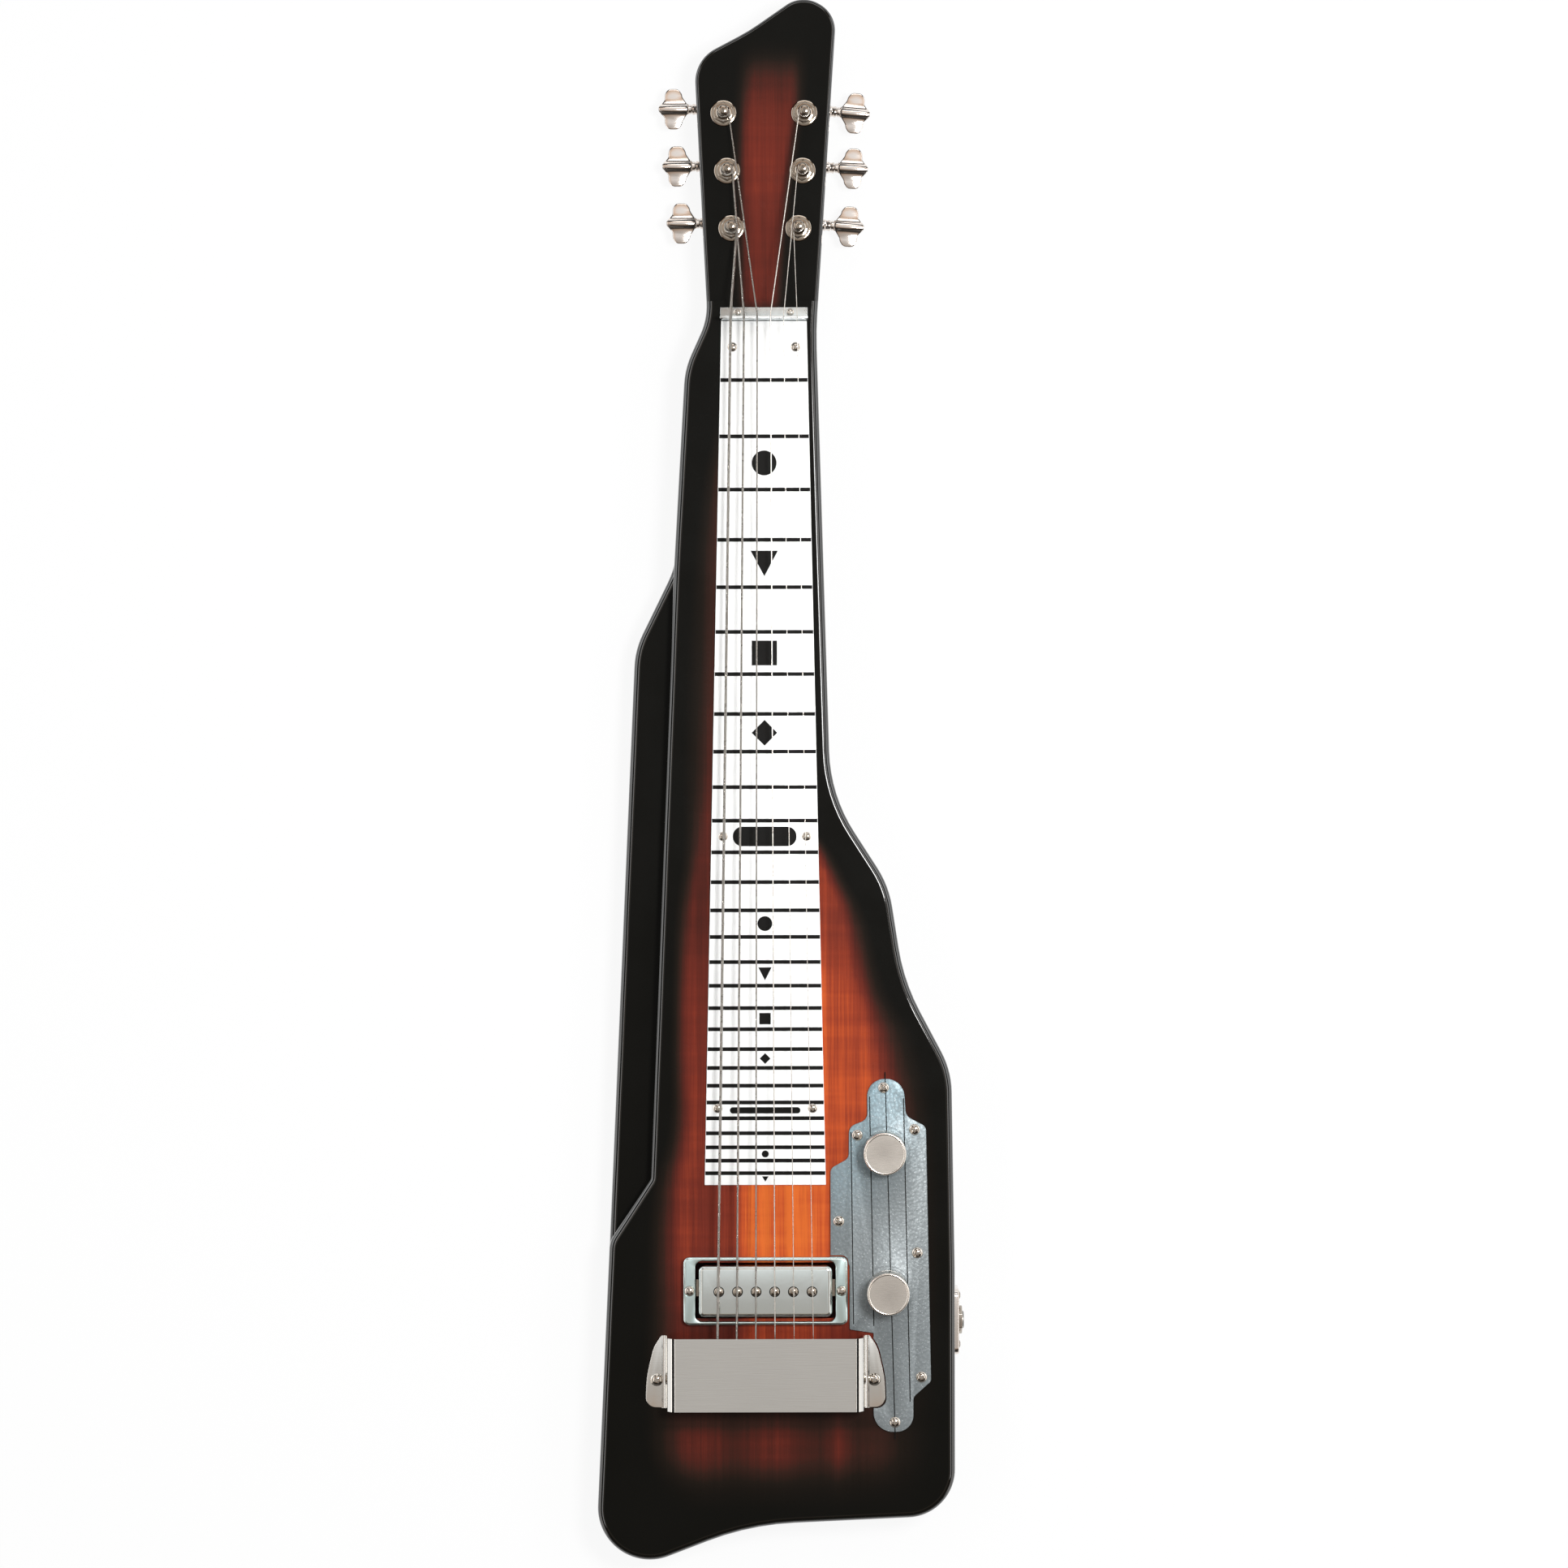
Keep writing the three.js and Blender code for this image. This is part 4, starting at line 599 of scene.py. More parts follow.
# Fret plate
scaleLength = 571.5
plateSet = {
    "top": 571.2, "end": scaleLength * 2 ** (-29 / 12), "narrow": 23.0, "wide": 32.6, "low": 38.0,
    "high": 39.5, "corner": 0.4, "edge": 0.25, "line": 2.05, "lineShort": 0.5, "ink": 0.04, "inkDeep": 0.2,
    "markerShare": 0.998, "screw": 2.6, "screwInset": 6.3, "screwY": (557.2, 294.3, 148.2), "screwSunk": 0.2,
    "markers": [(3, "disc", 13.33, 13.33), (5, "triangle", 14.7, 13.7), (7, "square", 13.6, 13.3),
                (9, "diamond", 13.9, 13.9), (12, "pill", 34.3, 10.5), (15, "disc", 7.95, 7.95),
                (17, "triangle", 7.15, 7.0), (19, "square", 6.1, 6.1), (21, "diamond", 5.8, 5.8),
                (24, "pill", 37.9, 3.36), (27, "disc", 3.74, 3.74), (29, "triangle", 3.5, 2.9)],
}


def plateHalf(y):
    share = (y - plateSet["end"]) / (scaleLength - plateSet["end"])
    return plateSet["wide"] + (plateSet["narrow"] - plateSet["wide"]) * share


def fretY(fret):
    return scaleLength * 2 ** (-fret / 12)


def markerCorners(form, y, width, height):
    w, h = width / 2, height / 2
    if form == "square":
        return [(w, y - h, 0), (w, y + h, 0), (-w, y + h, 0), (-w, y - h, 0)]
    if form == "diamond":
        return [(w, y, 0), (0, y + h, 0), (-w, y, 0), (0, y - h, 0)]
    if form == "triangle":
        return [(0, y - h, 0), (w, y + h, 0), (-w, y + h, 0)]
    return [(w, y - h, h), (w, y + h, h), (-w, y + h, h), (-w, y - h, h)]


def makeFretPlate():
    s = plateSet
    right = [(plateHalf(y), y, s["corner"]) for y in (s["end"], s["top"])]
    corners = right + [(-x, y, radius) for x, y, radius in reversed(right)]
    plate = slab(corners, s["low"], s["high"], s["edge"], steps=2)
    finishPiece(plate, "fretPlateSheet", fretPlastic, ["fret_plate"])
    low, high = s["high"] - s["inkDeep"], s["high"] + s["ink"]
    parts = [box(0, fretY(fret), 2 * plateHalf(fretY(fret)) - s["lineShort"], s["line"], low, high)
             for fret in range(1, 29)]
    for fret, form, width, height in s["markers"]:
        y = (fretY(fret - 1) + fretY(fret)) / 2
        if form == "disc":
            parts.append(moved(rod(width / 2, low, high, 64), 0, y))
        else:
            parts.append(slab(markerCorners(form, y, s["markerShare"] * width, height), low, high))
    finishPiece(joined(*parts), "fretInlays", inlayInk)
    places = [(side * (plateHalf(y) - s["screwInset"]), y) for y in s["screwY"] for side in (-1, 1)]
    addScrews("fretScrews", places, s["screw"], s["high"] - s["screwSunk"])


makeFretPlate()

# Nut
nutSet = {"half": 23.5, "front": scaleLength, "wall": 1.6, "foot": 6.9, "sheet": 2.0, "low": 38.0,
          "high": 49.4, "slot": 48.4, "slotSlack": 0.24, "spacing": 7.12, "screwX": 14.2, "screw": 2.1}
gauges = [1.42, 1.07, 0.81, 0.61, 0.43, 0.38]


def stringX(k, spacing):
    return (k - 2.5) * spacing


def makeNut():
    s = nutSet
    foot = box(0, s["front"] + s["foot"] / 2, 2 * s["half"], s["foot"], s["low"], s["low"] + s["sheet"])
    wall = box(0, s["front"] + s["wall"] / 2, 2 * s["half"], s["wall"], s["low"], s["high"])
    nut = carved(foot, wall, "UNION")
    soften(nut, 0.25)
    for k, gauge in enumerate(gauges):
        slot = box(stringX(k, s["spacing"]), s["front"] + 0.5, gauge + s["slotSlack"], 6, s["slot"], cutHigh)
        nut = carved(nut, slot)
    finishPiece(nut, "nutAngle", metals["nutAluminium"], ["nut"])
    y = s["front"] + (s["wall"] + s["foot"]) / 2
    addScrews("nutScrewPair", [(-s["screwX"], y), (s["screwX"], y)], s["screw"], s["low"] + s["sheet"],
              ["nut_screw_left", "nut_screw_right"], turn=8)


makeNut()
print("fret plate and nut made")

# Bridge. The cover's section has a foot, a slope and a narrow bead under its flat top. The blocks of the
# base are x, y, length, width, low and high.
bridgeSet = {
    "coverBack": -12.7, "coverFront": 26.3, "foot": 53.6, "topHalf": 48.3, "beadHalf": 50.2, "beadDrop": 1.15,
    "slopeHalf": 53.2, "slopeDrop": 4.1, "low": 38.0, "height": 19.0, "sheet": 1.2, "flange": 2.2,
    "bends": [(54, 0.4), (45, 0.6), (0, 2.0)],  # above each height the bends are this wide
    "ear": 8.8, "earShape": [(1.0, 0.01, 0.62), (0.93, 0.43, 5.6), (0.5, 0.84, 2.3), (0.02, 0.998, 0.1)],
    "earLap": 3.0, "earEdge": 0.35, "screwX": 58.5, "screwY": 2.5, "screw": 3.4,
    "plate": (0, -1.2, 64.6, 16.4, 38, 40.5), "lip": (0, -8.4, 64.6, 2.0, 38, 47.5),
    "cheek": (30.8, 0, 3.0, 9.0, 38, 51), "barRadius": 3.0, "barHole": 3.25, "barHalf": 32.0, "barZ": 47.0,
    "spacing": 10.4, "anchorZ": 44.2, "holeSlack": 0.24,
}


def earOutline(gap, lap):  # the gap runs round the ear, and the lap is how far it reaches back under the foot
    b = bridgeSet
    outer, back = b["foot"] + b["flange"] + gap, b["coverBack"] - gap
    span = b["coverFront"] + gap - back
    return [(outer - lap, back, 0), *((outer + away * b["ear"], back + along * span, radius * b["ear"])
                                      for away, along, radius in b["earShape"]),
            (outer - lap, back + span, 0)]


def makeCover():
    s = bridgeSet
    low, top, half = s["low"], s["low"] + s["height"], s["sheet"] / 2
    right = [(s["foot"] + s["flange"], low + half), (s["foot"] - half, low + half),
             (s["slopeHalf"] - half, top - half - s["slopeDrop"]),
             (s["beadHalf"], top - half - s["beadDrop"]), (s["topHalf"], top - half)]
    cover = bmesh.new()
    verts = [cover.verts.new((x, s["coverBack"], z))
             for x, z in right + [(-x, z) for x, z in reversed(right)]]
    edges = [cover.edges.new(pair) for pair in zip(verts, verts[1:])]
    out = bmesh.ops.extrude_edge_only(cover, edges=edges)
    moveNew(cover, out, (0, s["coverFront"] - s["coverBack"], 0))
    for bend in [edge for edge in cover.edges if len(edge.link_faces) == 2]:
        height = bend.verts[0].co.z
        bevelEdges(cover, [bend], next(width for above, width in s["bends"] if height > above), 6)
    outward(cover)
    if any(face.normal.z < -0.9 and face.calc_center_median().z > top - 2 for face in cover.faces):
        bmesh.ops.reverse_faces(cover, faces=cover.faces)
    bmesh.ops.solidify(cover, geom=cover.faces[:], thickness=s["sheet"])
    lift = top - max(vert.co.z for vert in cover.verts)
    bmesh.ops.translate(cover, vec=(0, 0, lift), verts=cover.verts)
    outward(cover)
    rightEar = earOutline(0, s["earLap"])
    leftEar = [(-x, y, radius) for x, y, radius in reversed(rightEar)]
    ears = [slab(ear, low, low + s["sheet"], s["earEdge"], bend=6) for ear in (leftEar, rightEar)]
    finishPiece(joined(cover, *ears), "bridgeCoverSheet", metals["chrome"], ["bridge_cover"],
                sharp=40)
    addScrews("coverScrewPair", [(-s["screwX"], s["screwY"]), (s["screwX"], s["screwY"])], s["screw"],
              low + s["sheet"], ["cover_screw_left", "cover_screw_right"], turn=33)


def makeBridgeBase():
    s = bridgeSet
    base = carved(box(*s["plate"]), box(*s["lip"]), "UNION")
    x, *cheek = s["cheek"]
    for side in (-1, 1):
        base = carved(base, box(side * x, *cheek), "UNION")
    base = carved(base, moved(rod(s["barHole"], -40, 40), z=s["barZ"], tilt=("Y", 90)))
    for k, gauge in enumerate(gauges):
        hole = rod(gauge / 2 + s["holeSlack"], -3, 3, 16)
        base = carved(base, moved(hole, stringX(k, s["spacing"]), s["lip"][1], s["anchorZ"], tilt=("X", 90)))
    soften(base, 0.2, 1, 50)
    finishPiece(base, "bridgeBasePlate", metals["zinc"], ["bridge_base"])
    bar = moved(rod(s["barRadius"], -s["barHalf"], s["barHalf"], 40), z=s["barZ"], tilt=("Y", 90))
    soften(bar, 0.4)
    finishPiece(bar, "saddleRod", metals["pickupChrome"], ["saddle_bar"])


makeCover()
makeBridgeBase()
print("bridge made")

# Pickup. The ring, its window and the cover are a length, a width and a corner radius.
pickupSet = {"y": 50.3, "ring": (88.4, 36.7, 3.5), "ringLow": 38, "ringHigh": 42.5, "ringEdge": 1.3,
             "window": (75.2, 32.7, 3.5), "windowEdge": 0.6, "cover": (71.7, 27.5, 3.0), "coverLow": 25.0,
             "coverHigh": 45.5, "coverEdge": 2.2, "sheet": 0.8, "base": 23.5, "tongue": (85.0, 9.0),
             "poleSpacing": 9.98, "pole": 2.65, "poleHigh": 46.3, "poleTurn": 11, "screwX": 40.8,
             "screw": 2.7}


def makePickup():
    s = pickupSet
    y, pole, sheet, high = s["y"], s["pole"], s["sheet"], s["coverHigh"]
    length, width, radius = s["ring"]
    ring = box(0, y, length, width, s["ringLow"], s["ringHigh"], radius, topRound=s["ringEdge"], bend=10,
               steps=4)
    length, width, radius = s["window"]
    ring = carved(ring, box(0, y, length, width, cutLow, cutHigh, radius, bend=10))
    bevelEdges(ring, rimEdges(ring, s["ringHigh"], 1.2), s["windowEdge"], 3, clamp=True)
    for side in (-1, 1):
        seat = rod(s["screw"] + 0.3, s["ringHigh"] - 0.7, 50)
        ring = carved(ring, moved(seat, side * s["screwX"], y))
    finishPiece(ring, "pickupFrame", metals["ringGrey"], ["pickup_ring"], sharp=38)
    length, width, radius = s["cover"]
    cover = box(0, y, length, width, s["coverLow"], high, radius, topRound=s["coverEdge"], steps=5)
    cover = carved(cover, box(0, y, length - 2 * sheet, width - 2 * sheet, 20, high - sheet, radius - sheet,
                              topRound=1.6))
    poleX = [stringX(k, s["poleSpacing"]) for k in range(6)]
    for x in poleX:
        cover = carved(cover, moved(rod(pole + 0.25, high - 2.0, cutHigh, 40), x, y))
    finishPiece(cover, "pickupCan", metals["pickupChrome"], ["pickup_cover"], sharp=38)
    top, foot = s["poleHigh"], s["base"] + 0.5
    base = box(0, y, length, width, s["base"], s["coverLow"], radius)
    parts = [carved(base, box(0, y, *s["tongue"], s["base"], s["coverLow"], radius), "UNION")]
    for k, x in enumerate(poleX):
        head = turned([(0, top), (0.4 * pole, top - 0.06), (0.72 * pole, top - 0.3),
                       (0.92 * pole, top - 0.75), (pole, top - 1.3), (pole, top - 4.4),
                       (0.5 * pole, top - 4.4), (0.5 * pole, foot), (0, foot)], 40)
        head = carved(head, box(0, 0, 3 * pole, 0.26 * pole, top - 0.55, top + 2))
        parts.append(moved(head, x, y, turn=90 + s["poleTurn"] * (k - 2)))
    finishPiece(joined(*parts), "poleScrews", metals["wornNickel"], ["pickup_baseplate"])
    addScrews("ringScrewPair", [(-s["screwX"], y), (s["screwX"], y)], s["screw"], s["ringHigh"] - 0.5,
              ["pickup_screw_left", "pickup_screw_right"], turn=15)


makePickup()
print("pickup made")

# Control plate, knobs and jack. Places and the outline are shares of the plate's width and length, and a
# line runs from one such place to another.
controlSet = {
    "x": 35.0, "y": -25.7, "wide": 54.0, "long": 189.6, "low": 38.0, "high": 39.5, "gap": 0.5, "edge": 0.3,
    "shape": [(0.426, 0, 0.198), (0.822, 0, 0.198), (0.822, 0.0986, 0.074), (0.998, 0.1429, 0.046),
              (0.952, 0.865, 0.074), (0.752, 0.895, 0.093), (0.7278, 1, 0.1815), (0.3648, 1, 0.1815),
              (0.3685, 0.8855, 0.093), (0.185, 0.8644, 0.093), (0.1815, 0.7753, 0.074), (0, 0.7463, 0.074),
              (0, 0.473, 0), (0.189, 0.473, 0), (0.189, 0.29, 0.02), (0.426, 0.28, 0)],
    "screws": [(0.53, 0.9752), (0.837, 0.8565), (0.2685, 0.8407), (0.0833, 0.597), (0.863, 0.5074),
               (0.9037, 0.1551), (0.639, 0.0274)],
    "lines": [(0.205, 0.85, 0.228, 0.305), (0.39, 0.95, 0.43, 0.3), (0.5444, 1.02, 0.6407, -0.02),
              (0.728, 0.945, 0.79, 0.085)],
    "groove": 0.55, "grooveDeep": 0.35, "fillSunk": 0.04, "screw": 3.0, "screwSunk": 0.1,
    "boss": 14.2, "bossHigh": 0.6,
}
knobSet = {"radius": 11.4, "low": 40.3, "high": 56.3,
           "places": {"volume": (0.537, 0.7938), "tone": (0.5685, 0.3987)}}


def controlPoint(across, along):
    s = controlSet
    return s["x"] + across * s["wide"], s["y"] + along * s["long"]


def bossShape():
    r, high = controlSet["boss"], controlSet["bossHigh"]
    return turned([(0, high), (0.84 * r, high), (0.9 * r, 0.85 * high), (0.95 * r, 0.4 * high), (r, -0.02),
                   (0.98 * r, -0.4), (0, -0.4)], 72)


def makeControlPlate():
    s = controlSet
    corners = [(*controlPoint(across, along), radius * s["wide"]) for across, along, radius in s["shape"]]
    plate = slab(corners, s["low"], s["high"], bend=6)
    length, width, radius = (size + extra * s["gap"] for size, extra in zip(pickupSet["ring"], (2, 2, 1)))
    middle = pickupSet["y"]
    plate = carved(plate, box(0, middle, length, width, cutLow, cutHigh, radius, bend=10))
    plate = carved(plate, slab(earOutline(s["gap"], 4), cutLow, cutHigh, bend=8))
    soften(plate, s["edge"], 2, 40)
    for share in knobSet["places"].values():
        plate = carved(plate, moved(bossShape(), *controlPoint(*share), s["high"]), "UNION")
    fills = []
    for x0, y0, x1, y1 in s["lines"]:
        start, end = Vector(controlPoint(x0, y0)), Vector(controlPoint(x1, y1))
        run = end - start
        at = {"x": (start.x + end.x) / 2, "y": (start.y + end.y) / 2, "turn": degrees(atan2(run.y, run.x))}
        groove = box(0, 0, run.length, s["groove"], s["high"] - s["grooveDeep"], s["high"] + 2)
        plate = carved(plate, moved(groove, **at))
        fill = box(0, 0, run.length, s["groove"] + 0.02, s["high"] - s["grooveDeep"] - 0.05,
                   s["high"] - s["fillSunk"])
        fills.append(moved(fill, **at))
    finishPiece(plate, "controlSheet", hammertone, ["control_plate"], sharp=38)
    window = box(0, middle, length, width, cutLow, cutHigh)
    finishPiece(carved(joined(*fills), window), "plateLines", inlayInk)
    addScrews("controlScrews", [controlPoint(*place) for place in s["screws"]], s["screw"],
              s["high"] - s["screwSunk"], turn=51)


def makeKnobs():
    s = knobSet
    r, low, high = s["radius"], s["low"], s["high"]
    for word, share in s["places"].items():
        knob = turned([(0, high - 0.25), (r - 1.35, high - 0.25), (r - 1.2, high - 0.12), (r - 1.0, high),
                       (r - 0.7, high), (r - 0.35, high - 0.12), (r - 0.1, high - 0.38), (r, high - 0.75),
                       (r, low + 2.6), (r - 0.5, low + 2.3), (r - 0.5, low + 1.9), (r, low + 1.6), (r, low),
                       (8.0, low), (8.0, low + 4.4), (0, low + 4.4)], 96)
        finishPiece(moved(knob, *controlPoint(*share)), f"{word}Cap", metals["knobNickel"],
                    [f"{word}_knob"], word)


jackSet = {"x": 101.9, "y": 32.3, "z": 19.0, "long": 35.2, "tall": 27.0, "sheet": 2.4, "corner": 4.0,
           "edge": 0.8, "plateHole": 4.95, "nutAcross": 13.4, "nutHigh": 2.0, "nutHole": 4.9, "screw": 2.4,
           "screwY": 13.2}


def makeJack():
    s = jackSet
    sheet = s["sheet"]

    def onSide(bm, name, material, replaced=()):
        finishPiece(moved(bm, s["x"], s["y"], s["z"], tilt=("Y", 90)), name, material, replaced)

    plate = box(0, 0, s["tall"], s["long"], 0, sheet, s["corner"], topRound=s["edge"])
    onSide(carved(plate, rod(s["plateHole"], -5, 5)), "jackPlateSheet", metals["nickel"],
           ["jack_plate"])
    nut = hexBlock(s["nutAcross"], sheet, sheet + s["nutHigh"])
    soften(nut, 0.45)
    onSide(carved(nut, rod(s["nutHole"], -5, 12)), "jackHexNut", metals["wornNickel"], ["jack_nut"])
    bush = turned([(3.5, -21.5), (3.5, 5.0), (3.8, 5.3), (4.3, 5.3), (4.7, 4.9), (4.7, -0.3), (7.0, -0.3),
                   (7.0, -23), (0, -23), (0, -21.5), (3.5, -21.5)], 48)
    onSide(bush, "jackBush", metals["turnedSteel"], ["jack_socket"])
    heads = [moved(screwHead(s["screw"]), y=side * s["screwY"], z=sheet) for side in (-1, 1)]
    onSide(joined(*heads), "jackScrews", metals["wornNickel"])


makeControlPlate()
makeKnobs()
makeJack()
print("controls and jack made")

# Machine heads. Each is drawn for the treble side, from the underside of the headstock up, and mirrored
# for the bass side. The button is shares of its length and width, and its rib a half width and a height.
tunerSet = {
    "under": 18.0, "depth": 14.0, "gear": 4.9, "shaftZ": -5.5, "top": 17.6,
    "posts": [(-17.499, 621.836), (-19.749, 652.799), (-21.709, 683.798), (21.903, 683.798),
              (20.894, 652.799), (18.605, 621.836)],
    "turns": [0, 0, 0, -5, -3, -4],
    "button": [(0.0, 0.21, 0.04), (0.185, 0.6, 0.2), (0.2, 0.75, 0.296), (0.323, 1.0, 0.296),
               (0.667, 1.0, 0.296), (0.79, 0.75, 0.296), (0.79, 0.43, 0.16), (1.0, 0.1, 0.06)],
    "buttonStart": 19.6, "buttonLong": 15.7, "buttonWide": 21.8, "rimDrop": 0.22, "rimWide": 0.55,
    "rib": [(0, 2.4), (0.7, 2.3), (1.3, 2.08), (1.9, 1.7), (2.3, 1.42), (2.7, 1.24), (3.4, 1.1), (4.4, 0.99),
            (5.6, 0.92), (7.0, 0.88), (14, 0.88)],
    "neck": [(0, 6.5), (1.6, 6.5), (1.6, 17.4), (2.3, 17.5), (2.65, 17.75), (2.65, 19.0), (2.3, 19.35),
             (2.0, 19.9), (0, 19.9)],
    "case": [(9.4, -5.6, 2.5), (9.4, 9.96, 2.5), (-6.2, 9.96, 2.5), (-6.2, -5.6, 2.5)], "caseLow": -11.0,
    "collar": [(1.9, 17.2), (2.5, 17.2), (2.9, 16.9), (3.05, 16.2), (2.7, 15.6), (2.7, 14.6), (3.1, 14.0),
               (3.1, 7.0), (1.9, 7.0), (1.9, 17.2)], "caseScrew": 1.7,
}


def placedTuner(bm, k):
    if k < 3:
        bmesh.ops.scale(bm, vec=(-1, 1, 1), verts=bm.verts)
        outward(bm)
    x, y = tunerSet["posts"][k]
    return moved(bm, x, y, tunerSet["under"], turn=tunerSet["turns"][k])


def buttonShape():
    s = tunerSet
    start, long = s["buttonStart"], s["buttonLong"]
    half = [(start + along * long, across * s["buttonWide"] / 2, radius * long)
            for along, across, radius in s["button"]]
    corners = [(x, -y, radius) for x, y, radius in half] + [(x, y, radius) for x, y, radius in reversed(half)]
    leaf = slab(corners, -4, 4, bend=7)
    rib = bmesh.new()  # the section across the button: thick in the middle and thin at the sides
    upper = s["rib"]
    ring = upper + [(across, -height) for across, height in reversed(upper)]
    ring += [(-across, -height) for across, height in upper[1:]]
    ring += [(-across, height) for across, height in reversed(upper[1:])]
    face = rib.faces.new([rib.verts.new((start - 1, across, height))
                          for across, height in dict.fromkeys(ring)])
    extrudeFaces(rib, [face], (long + 3, 0, 0))
    leaf = carved(leaf, rib, "INTERSECT")
    for side in (1, -1):
        faces = [face for face in leaf.faces if face.normal.z * side > 0.3]
        bmesh.ops.inset_region(leaf, faces=faces, thickness=s["rimWide"], depth=s["rimDrop"],
                               use_boundary=True, use_even_offset=True)
    soften(leaf, 0.3, 3, 48)
    return moved(joined(leaf, moved(turned(s["neck"], 36), tilt=("Y", 90))), 0, s["gear"], s["shaftZ"])


def housingShape():
    s = tunerSet
    case = slab(s["case"], s["caseLow"], 0, 0, 1.2, bend=12, steps=4)
    collar = moved(turned(s["collar"], 32), 0, s["gear"], s["shaftZ"], tilt=("Y", 90))
    screw = moved(moved(screwHead(s["caseScrew"]), z=-s["caseLow"]), tilt=("X", 180))
    return joined(case, collar, moved(screw, 0, s["gear"]))


def bushingShape():
    s = tunerSet
    deep = s["depth"]
    washer = turned([(3.3, 0.6), (4.6, 0.6), (4.6, deep), (7.15, deep), (7.15, deep + 0.5),
                     (6.9, deep + 0.95), (6.3, deep + 1.2), (5.6, deep + 1.2), (3.3, deep + 1.2)], 56)
    nut = hexBlock(10.0, deep + 1.0, deep + 3.6)
    cone = turned([(0, deep + 3.6), (4.9, deep + 3.6), (5.9, deep + 2.7), (5.9, deep + 0.9), (0, deep + 0.9)],
                  48)
    nut = carved(nut, cone, "INTERSECT")
    nut = carved(nut, rod(3.35, deep - 1, deep + 9, 40))
    soften(nut, 0.15, 1, 40)
    ferrule = turned([(3.25, deep + 1.0), (3.25, deep + 3.85), (3.5, deep + 3.95), (3.9, deep + 3.8),
                      (4.1, deep + 3.5), (4.1, deep + 1.0)], 48)
    return joined(washer, nut, ferrule)


def postShape():
    top = tunerSet["top"]
    stem = turned([(0, -9.0), (1.5, -9.0), (1.5, -3.75), (3.0, -3.5), (3.0, top + 0.25), (2.35, top + 0.5),
                   (2.3, top + 0.9), (2.3, top + 7.6), (2.4, top + 8.1), (2.75, top + 8.5), (2.9, top + 8.9),
                   (2.9, top + 9.6), (2.72, top + 10.1), (2.3, top + 10.5), (1.7, top + 10.72),
                   (1.0, top + 10.8), (0.95, top + 10.4), (0, top + 10.3)], 40)
    return carved(stem, moved(rod(0.75, -6, 6, 20), 0, 0, top + 5.4, tilt=("X", 90)))


def makeTuners():
    nickel, wornNickel = metals["nickel"], metals["wornNickel"]
    for k in range(6):
        n = k + 1
        for shape, name, body, material, node in (
                (buttonShape, "buttonLeaf", f"button_{n}", nickel, "button"),
                (housingShape, "gearCase", "guitar", nickel, "housing"),
                (bushingShape, "postBush", "guitar", wornNickel, "bushing"),
                (postShape, "windingPost", f"post_{n}", wornNickel, "post")):
            finishPiece(placedTuner(shape(), k), f"{name}{n}", material, [f"tuner_{n}_{node}"],
                        body)


makeTuners()
print("machine heads made")

# Strings: from the anchor over the bar and the nut, and round the post
stringSet = {"turns": [1.25, 1.5, 1.75, 2, 2, 2], "turnSteps": 48, "barSteps": 12, "lie": 0.12,
             "between": 0.5, "lipBack": -9.4, "lip": 2.0, "ballRadius": 1.9, "ballLong": 2.6, "ballHole": 0.7,
             "waist": 2.3, "lift": 1.3}


def stringPoints(k):
    s, gauge, radius = stringSet, gauges[k], gauges[k] / 2
    x, anchorZ, barZ = stringX(k, bridgeSet["spacing"]), bridgeSet["anchorZ"], bridgeSet["barZ"]
    leaveY = s["lipBack"] + s["lip"] + s["lie"]
    points = [Vector((x, s["lipBack"] - s["lie"] - 1.0, anchorZ)), Vector((x, leaveY, anchorZ))]
    arm = bridgeSet["barRadius"] + radius + s["lie"]
    rise = Vector((leaveY, anchorZ - barZ))
    meet = atan2(rise.y, rise.x) % (2 * pi) - acos(arm / rise.length)
    for step in range(s["barSteps"] + 1):
        angle = meet + (pi / 2 - meet) * step / s["barSteps"]
        points.append(Vector((x, arm * cos(angle), barZ + arm * sin(angle))))
    nutX, nutZ = stringX(k, nutSet["spacing"]), nutSet["slot"] + s["lie"] + radius
    ease = nutSet["wall"] / 2
    leave = Vector((nutX, nutSet["front"] + nutSet["wall"] + ease))
    points += [Vector((nutX, nutSet["front"] - ease, nutZ)), Vector((leave.x, leave.y, nutZ))]
    centre = Vector(tunerSet["posts"][k])
    side = 1 if centre.x < 0 else -1
    coil = s["waist"] + radius + s["lie"]
    run = centre - leave
    start = atan2(run.y, run.x) - side * (asin(coil / run.length) + pi / 2)
    lowZ = tunerSet["under"] + tunerSet["top"] + s["lift"]
    for step in range(round(s["turns"][k] * s["turnSteps"]) + 1):
        turn = step / s["turnSteps"]
        angle = start + side * 2 * pi * turn
        points.append(Vector((centre.x + coil * cos(angle), centre.y + coil * sin(angle),
                              lowZ + (gauge + s["between"]) * turn)))
    return points


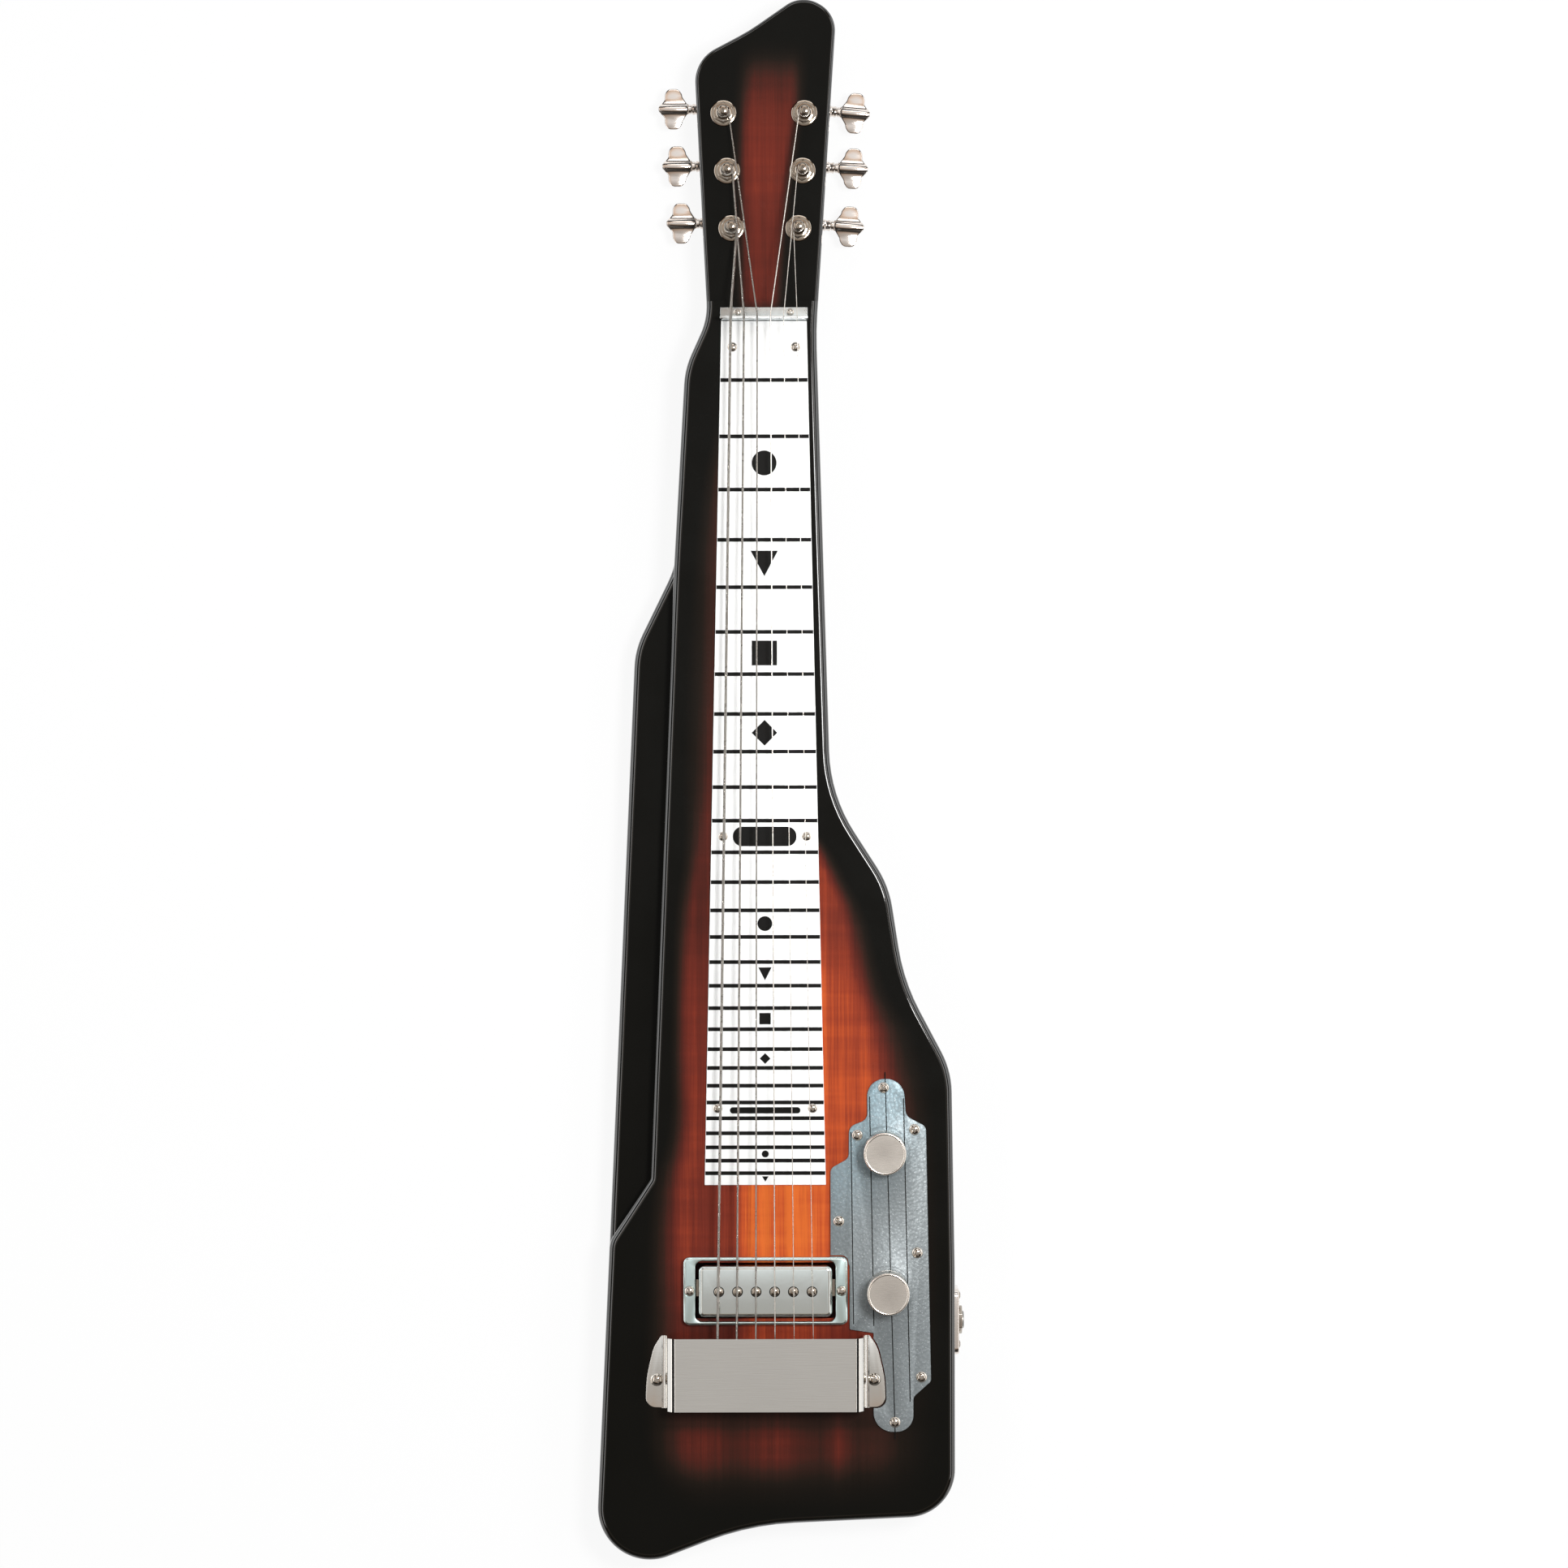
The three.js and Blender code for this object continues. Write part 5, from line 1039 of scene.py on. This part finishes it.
def makeStrings():
    for k, gauge in enumerate(gauges):
        curve = bpy.data.curves.new(f"stringLine{k + 1}", "CURVE")
        curve.dimensions = "3D"
        curve.bevel_depth = gauge / 2 * mm
        curve.bevel_resolution = 3
        curve.use_fill_caps = True
        spline = curve.splines.new("POLY")
        points = stringPoints(k)
        spline.points.add(len(points) - 1)
        for point, place in zip(spline.points, points):
            point.co = (*(place * mm), 1)
        curve.materials.append(woundSteel if k < 3 else plainSteel)
        line = placed(f"stringLine{k + 1}", curve)
        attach(line, "guitar")
        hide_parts(f"string_{k + 1}")
    s = stringSet
    balls = []
    for k in range(6):
        r, half, hole = s["ballRadius"], s["ballLong"] / 2, s["ballHole"]
        ball = turned([(hole, -half), (r - 0.4, -half), (r, -half + 0.4), (r - 0.35, 0), (r, half - 0.4),
                       (r - 0.4, half), (hole, half), (hole, -half)], 28)
        x, y = stringX(k, bridgeSet["spacing"]), s["lipBack"] - s["lie"] - half
        balls.append(moved(ball, x, y, bridgeSet["anchorZ"], tilt=("X", 90)))
    finishPiece(joined(*balls), "ballEnds", metals["turnedSteel"])


makeStrings()
print("strings made")

# CAD nodes that stay: inner pieces, given a finish of their own
innerSet = {"pickup_bobbin": inlayInk, "pickup_magnet": metals["turnedSteel"]}
for word in ("volume", "tone"):
    innerSet.update({f"{word}_pot": metals["zinc"], f"{word}_pot_nut": metals["nickel"],
                     f"{word}_shaft": metals["turnedSteel"]})
for name, material in innerSet.items():
    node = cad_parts[name]
    node.data.materials.clear()
    node.data.materials.append(material)

# Floor and world. Bright metal shows a pale roof that browns toward a dark gap, and softboxes low at either
# side; the side toward the head is paler and cooler than the side toward the tail.
stageSet = {"floor": 12.0, "floorZ": -0.0005, "plain": 0.9, "shown": 0.9, "worldLight": 0.36, "backdrop": 1.0,
            "roofTail": 0.46, "roofHead": 0.92, "gap": 0.03, "sideBox": 1.4, "headBox": 1.2, "tailBox": 0.12,
            "warm": (1.0, 0.95, 0.9, 1), "cool": (0.98, 0.99, 1.0, 1), "brown": (1.0, 0.78, 0.62, 1)}


def shownRays(tree):
    path = addNode(tree, "LightPath").outputs
    both = sums("MAXIMUM", path["Is Camera Ray"], path["Is Glossy Ray"])
    return sums("MAXIMUM", both, path["Is Transmission Ray"])


def endTree(tree, kind, factor, first, second):  # the first shader lights the object, and the second is seen
    mix = addNode(tree, "MixShader", {0: factor, 1: first.outputs[0], 2: second.outputs[0]})
    addNode(tree, kind, {"Surface": mix.outputs[0]})


def makeFloor():
    s = stageSet
    bm = bmesh.new()
    bmesh.ops.create_grid(bm, x_segments=1, y_segments=1, size=s["floor"] / 2)
    floor = placed("floor", meshFrom(bm, "floor"))
    floor.location = (0, 0, s["floorZ"])
    material = bpy.data.materials.new("floorWhite")
    material.use_nodes = True
    tree = material.node_tree
    tree.nodes.clear()
    matt = addNode(tree, "BsdfDiffuse", {"Color": (s["plain"], s["plain"], s["plain"], 1)})
    glow = addNode(tree, "Emission", {"Color": (1, 1, 1, 1), "Strength": s["backdrop"]})
    endTree(tree, "OutputMaterial", times(shownRays(tree), s["shown"]), matt, glow)
    floor.data.materials.append(material)


def makeWorld():
    s = stageSet
    world = bpy.data.worlds.new("studio")
    scene.world = world
    world.use_nodes = True
    tree = world.node_tree
    tree.nodes.clear()
    aim = parted(addNode(tree, "TexCoord").outputs["Generated"])
    x, y, height = aim["X"], aim["Y"], aim["Z"]
    roof = times(mapped(y, -0.14, 0.15, s["roofTail"], s["roofHead"]),
                 mapped(height, 0.74, 0.95, smooth=True))
    level = sums("SQRT", sums("MULTIPLY_ADD", x, x, times(y, y)))
    sides = mapped(sums("DIVIDE", sums("ABSOLUTE", x), level), 0.72, 0.88, smooth=True)
    ends = mapped(y, -0.25, 0.35, s["tailBox"], s["headBox"], smooth=True)
    lowBox = sums("MULTIPLY_ADD", sides, s["sideBox"], ends)
    low = sums("MULTIPLY_ADD", mapped(height, 0.36, 0.26, smooth=True), lowBox, s["gap"])
    toCamera = addNode(tree, "LightPath").outputs["Is Camera Ray"]
    strength = addNode(tree, "Mix", {0: toCamera, 2: sums("ADD", roof, low), 3: s["backdrop"]},
                       data_type="FLOAT").outputs[0]
    tone = mixColours(mapped(y, -0.3, 0.15, smooth=True), s["warm"], s["cool"])
    inBrown = times(mapped(height, 0.62, 0.74, smooth=True), mapped(height, 0.97, 0.88, smooth=True))
    tone = mixColours(toCamera, mixColours(inBrown, tone, s["brown"]), (1, 1, 1, 1))
    lit = addNode(tree, "Background", {"Color": (1, 1, 1, 1), "Strength": s["worldLight"]})
    seen = addNode(tree, "Background", {"Color": tone, "Strength": strength})
    endTree(tree, "OutputWorld", shownRays(tree), lit, seen)


# Lamps, in metres and watts, all aimed at the middle of the strings
lampSet = [
    {"name": "leftStrip", "at": (-1.15, 0.35, 1.35), "size": (2.2, 0.42), "power": 5.0},
    {"name": "rightStrip", "at": (1.3, 0.5, 1.3), "size": (2.2, 0.42), "power": 6.0},
    {"name": "headStrip", "at": (0.1, 1.9, 1.5), "size": (1.4, 0.5), "power": 5.0},
    {"name": "keyLamp", "at": (0.5, 0.5, 1.7), "size": (0.36, 0.36), "power": 20.0},
]
lampAim = (0, 0.32, 0)


def makeLamps():
    for lamp in lampSet:
        data = bpy.data.lights.new(lamp["name"], "AREA")
        data.shape = "RECTANGLE"
        data.size, data.size_y = lamp["size"]
        data.energy = lamp["power"]
        obj = placed(lamp["name"], data)
        obj.location = lamp["at"]
        obj.rotation_euler = (Vector(lampAim) - Vector(lamp["at"])).to_track_quat("-Z", "Y").to_euler()


makeFloor()
makeWorld()
makeLamps()
scene.view_settings.view_transform = "Standard"
print("stage made")
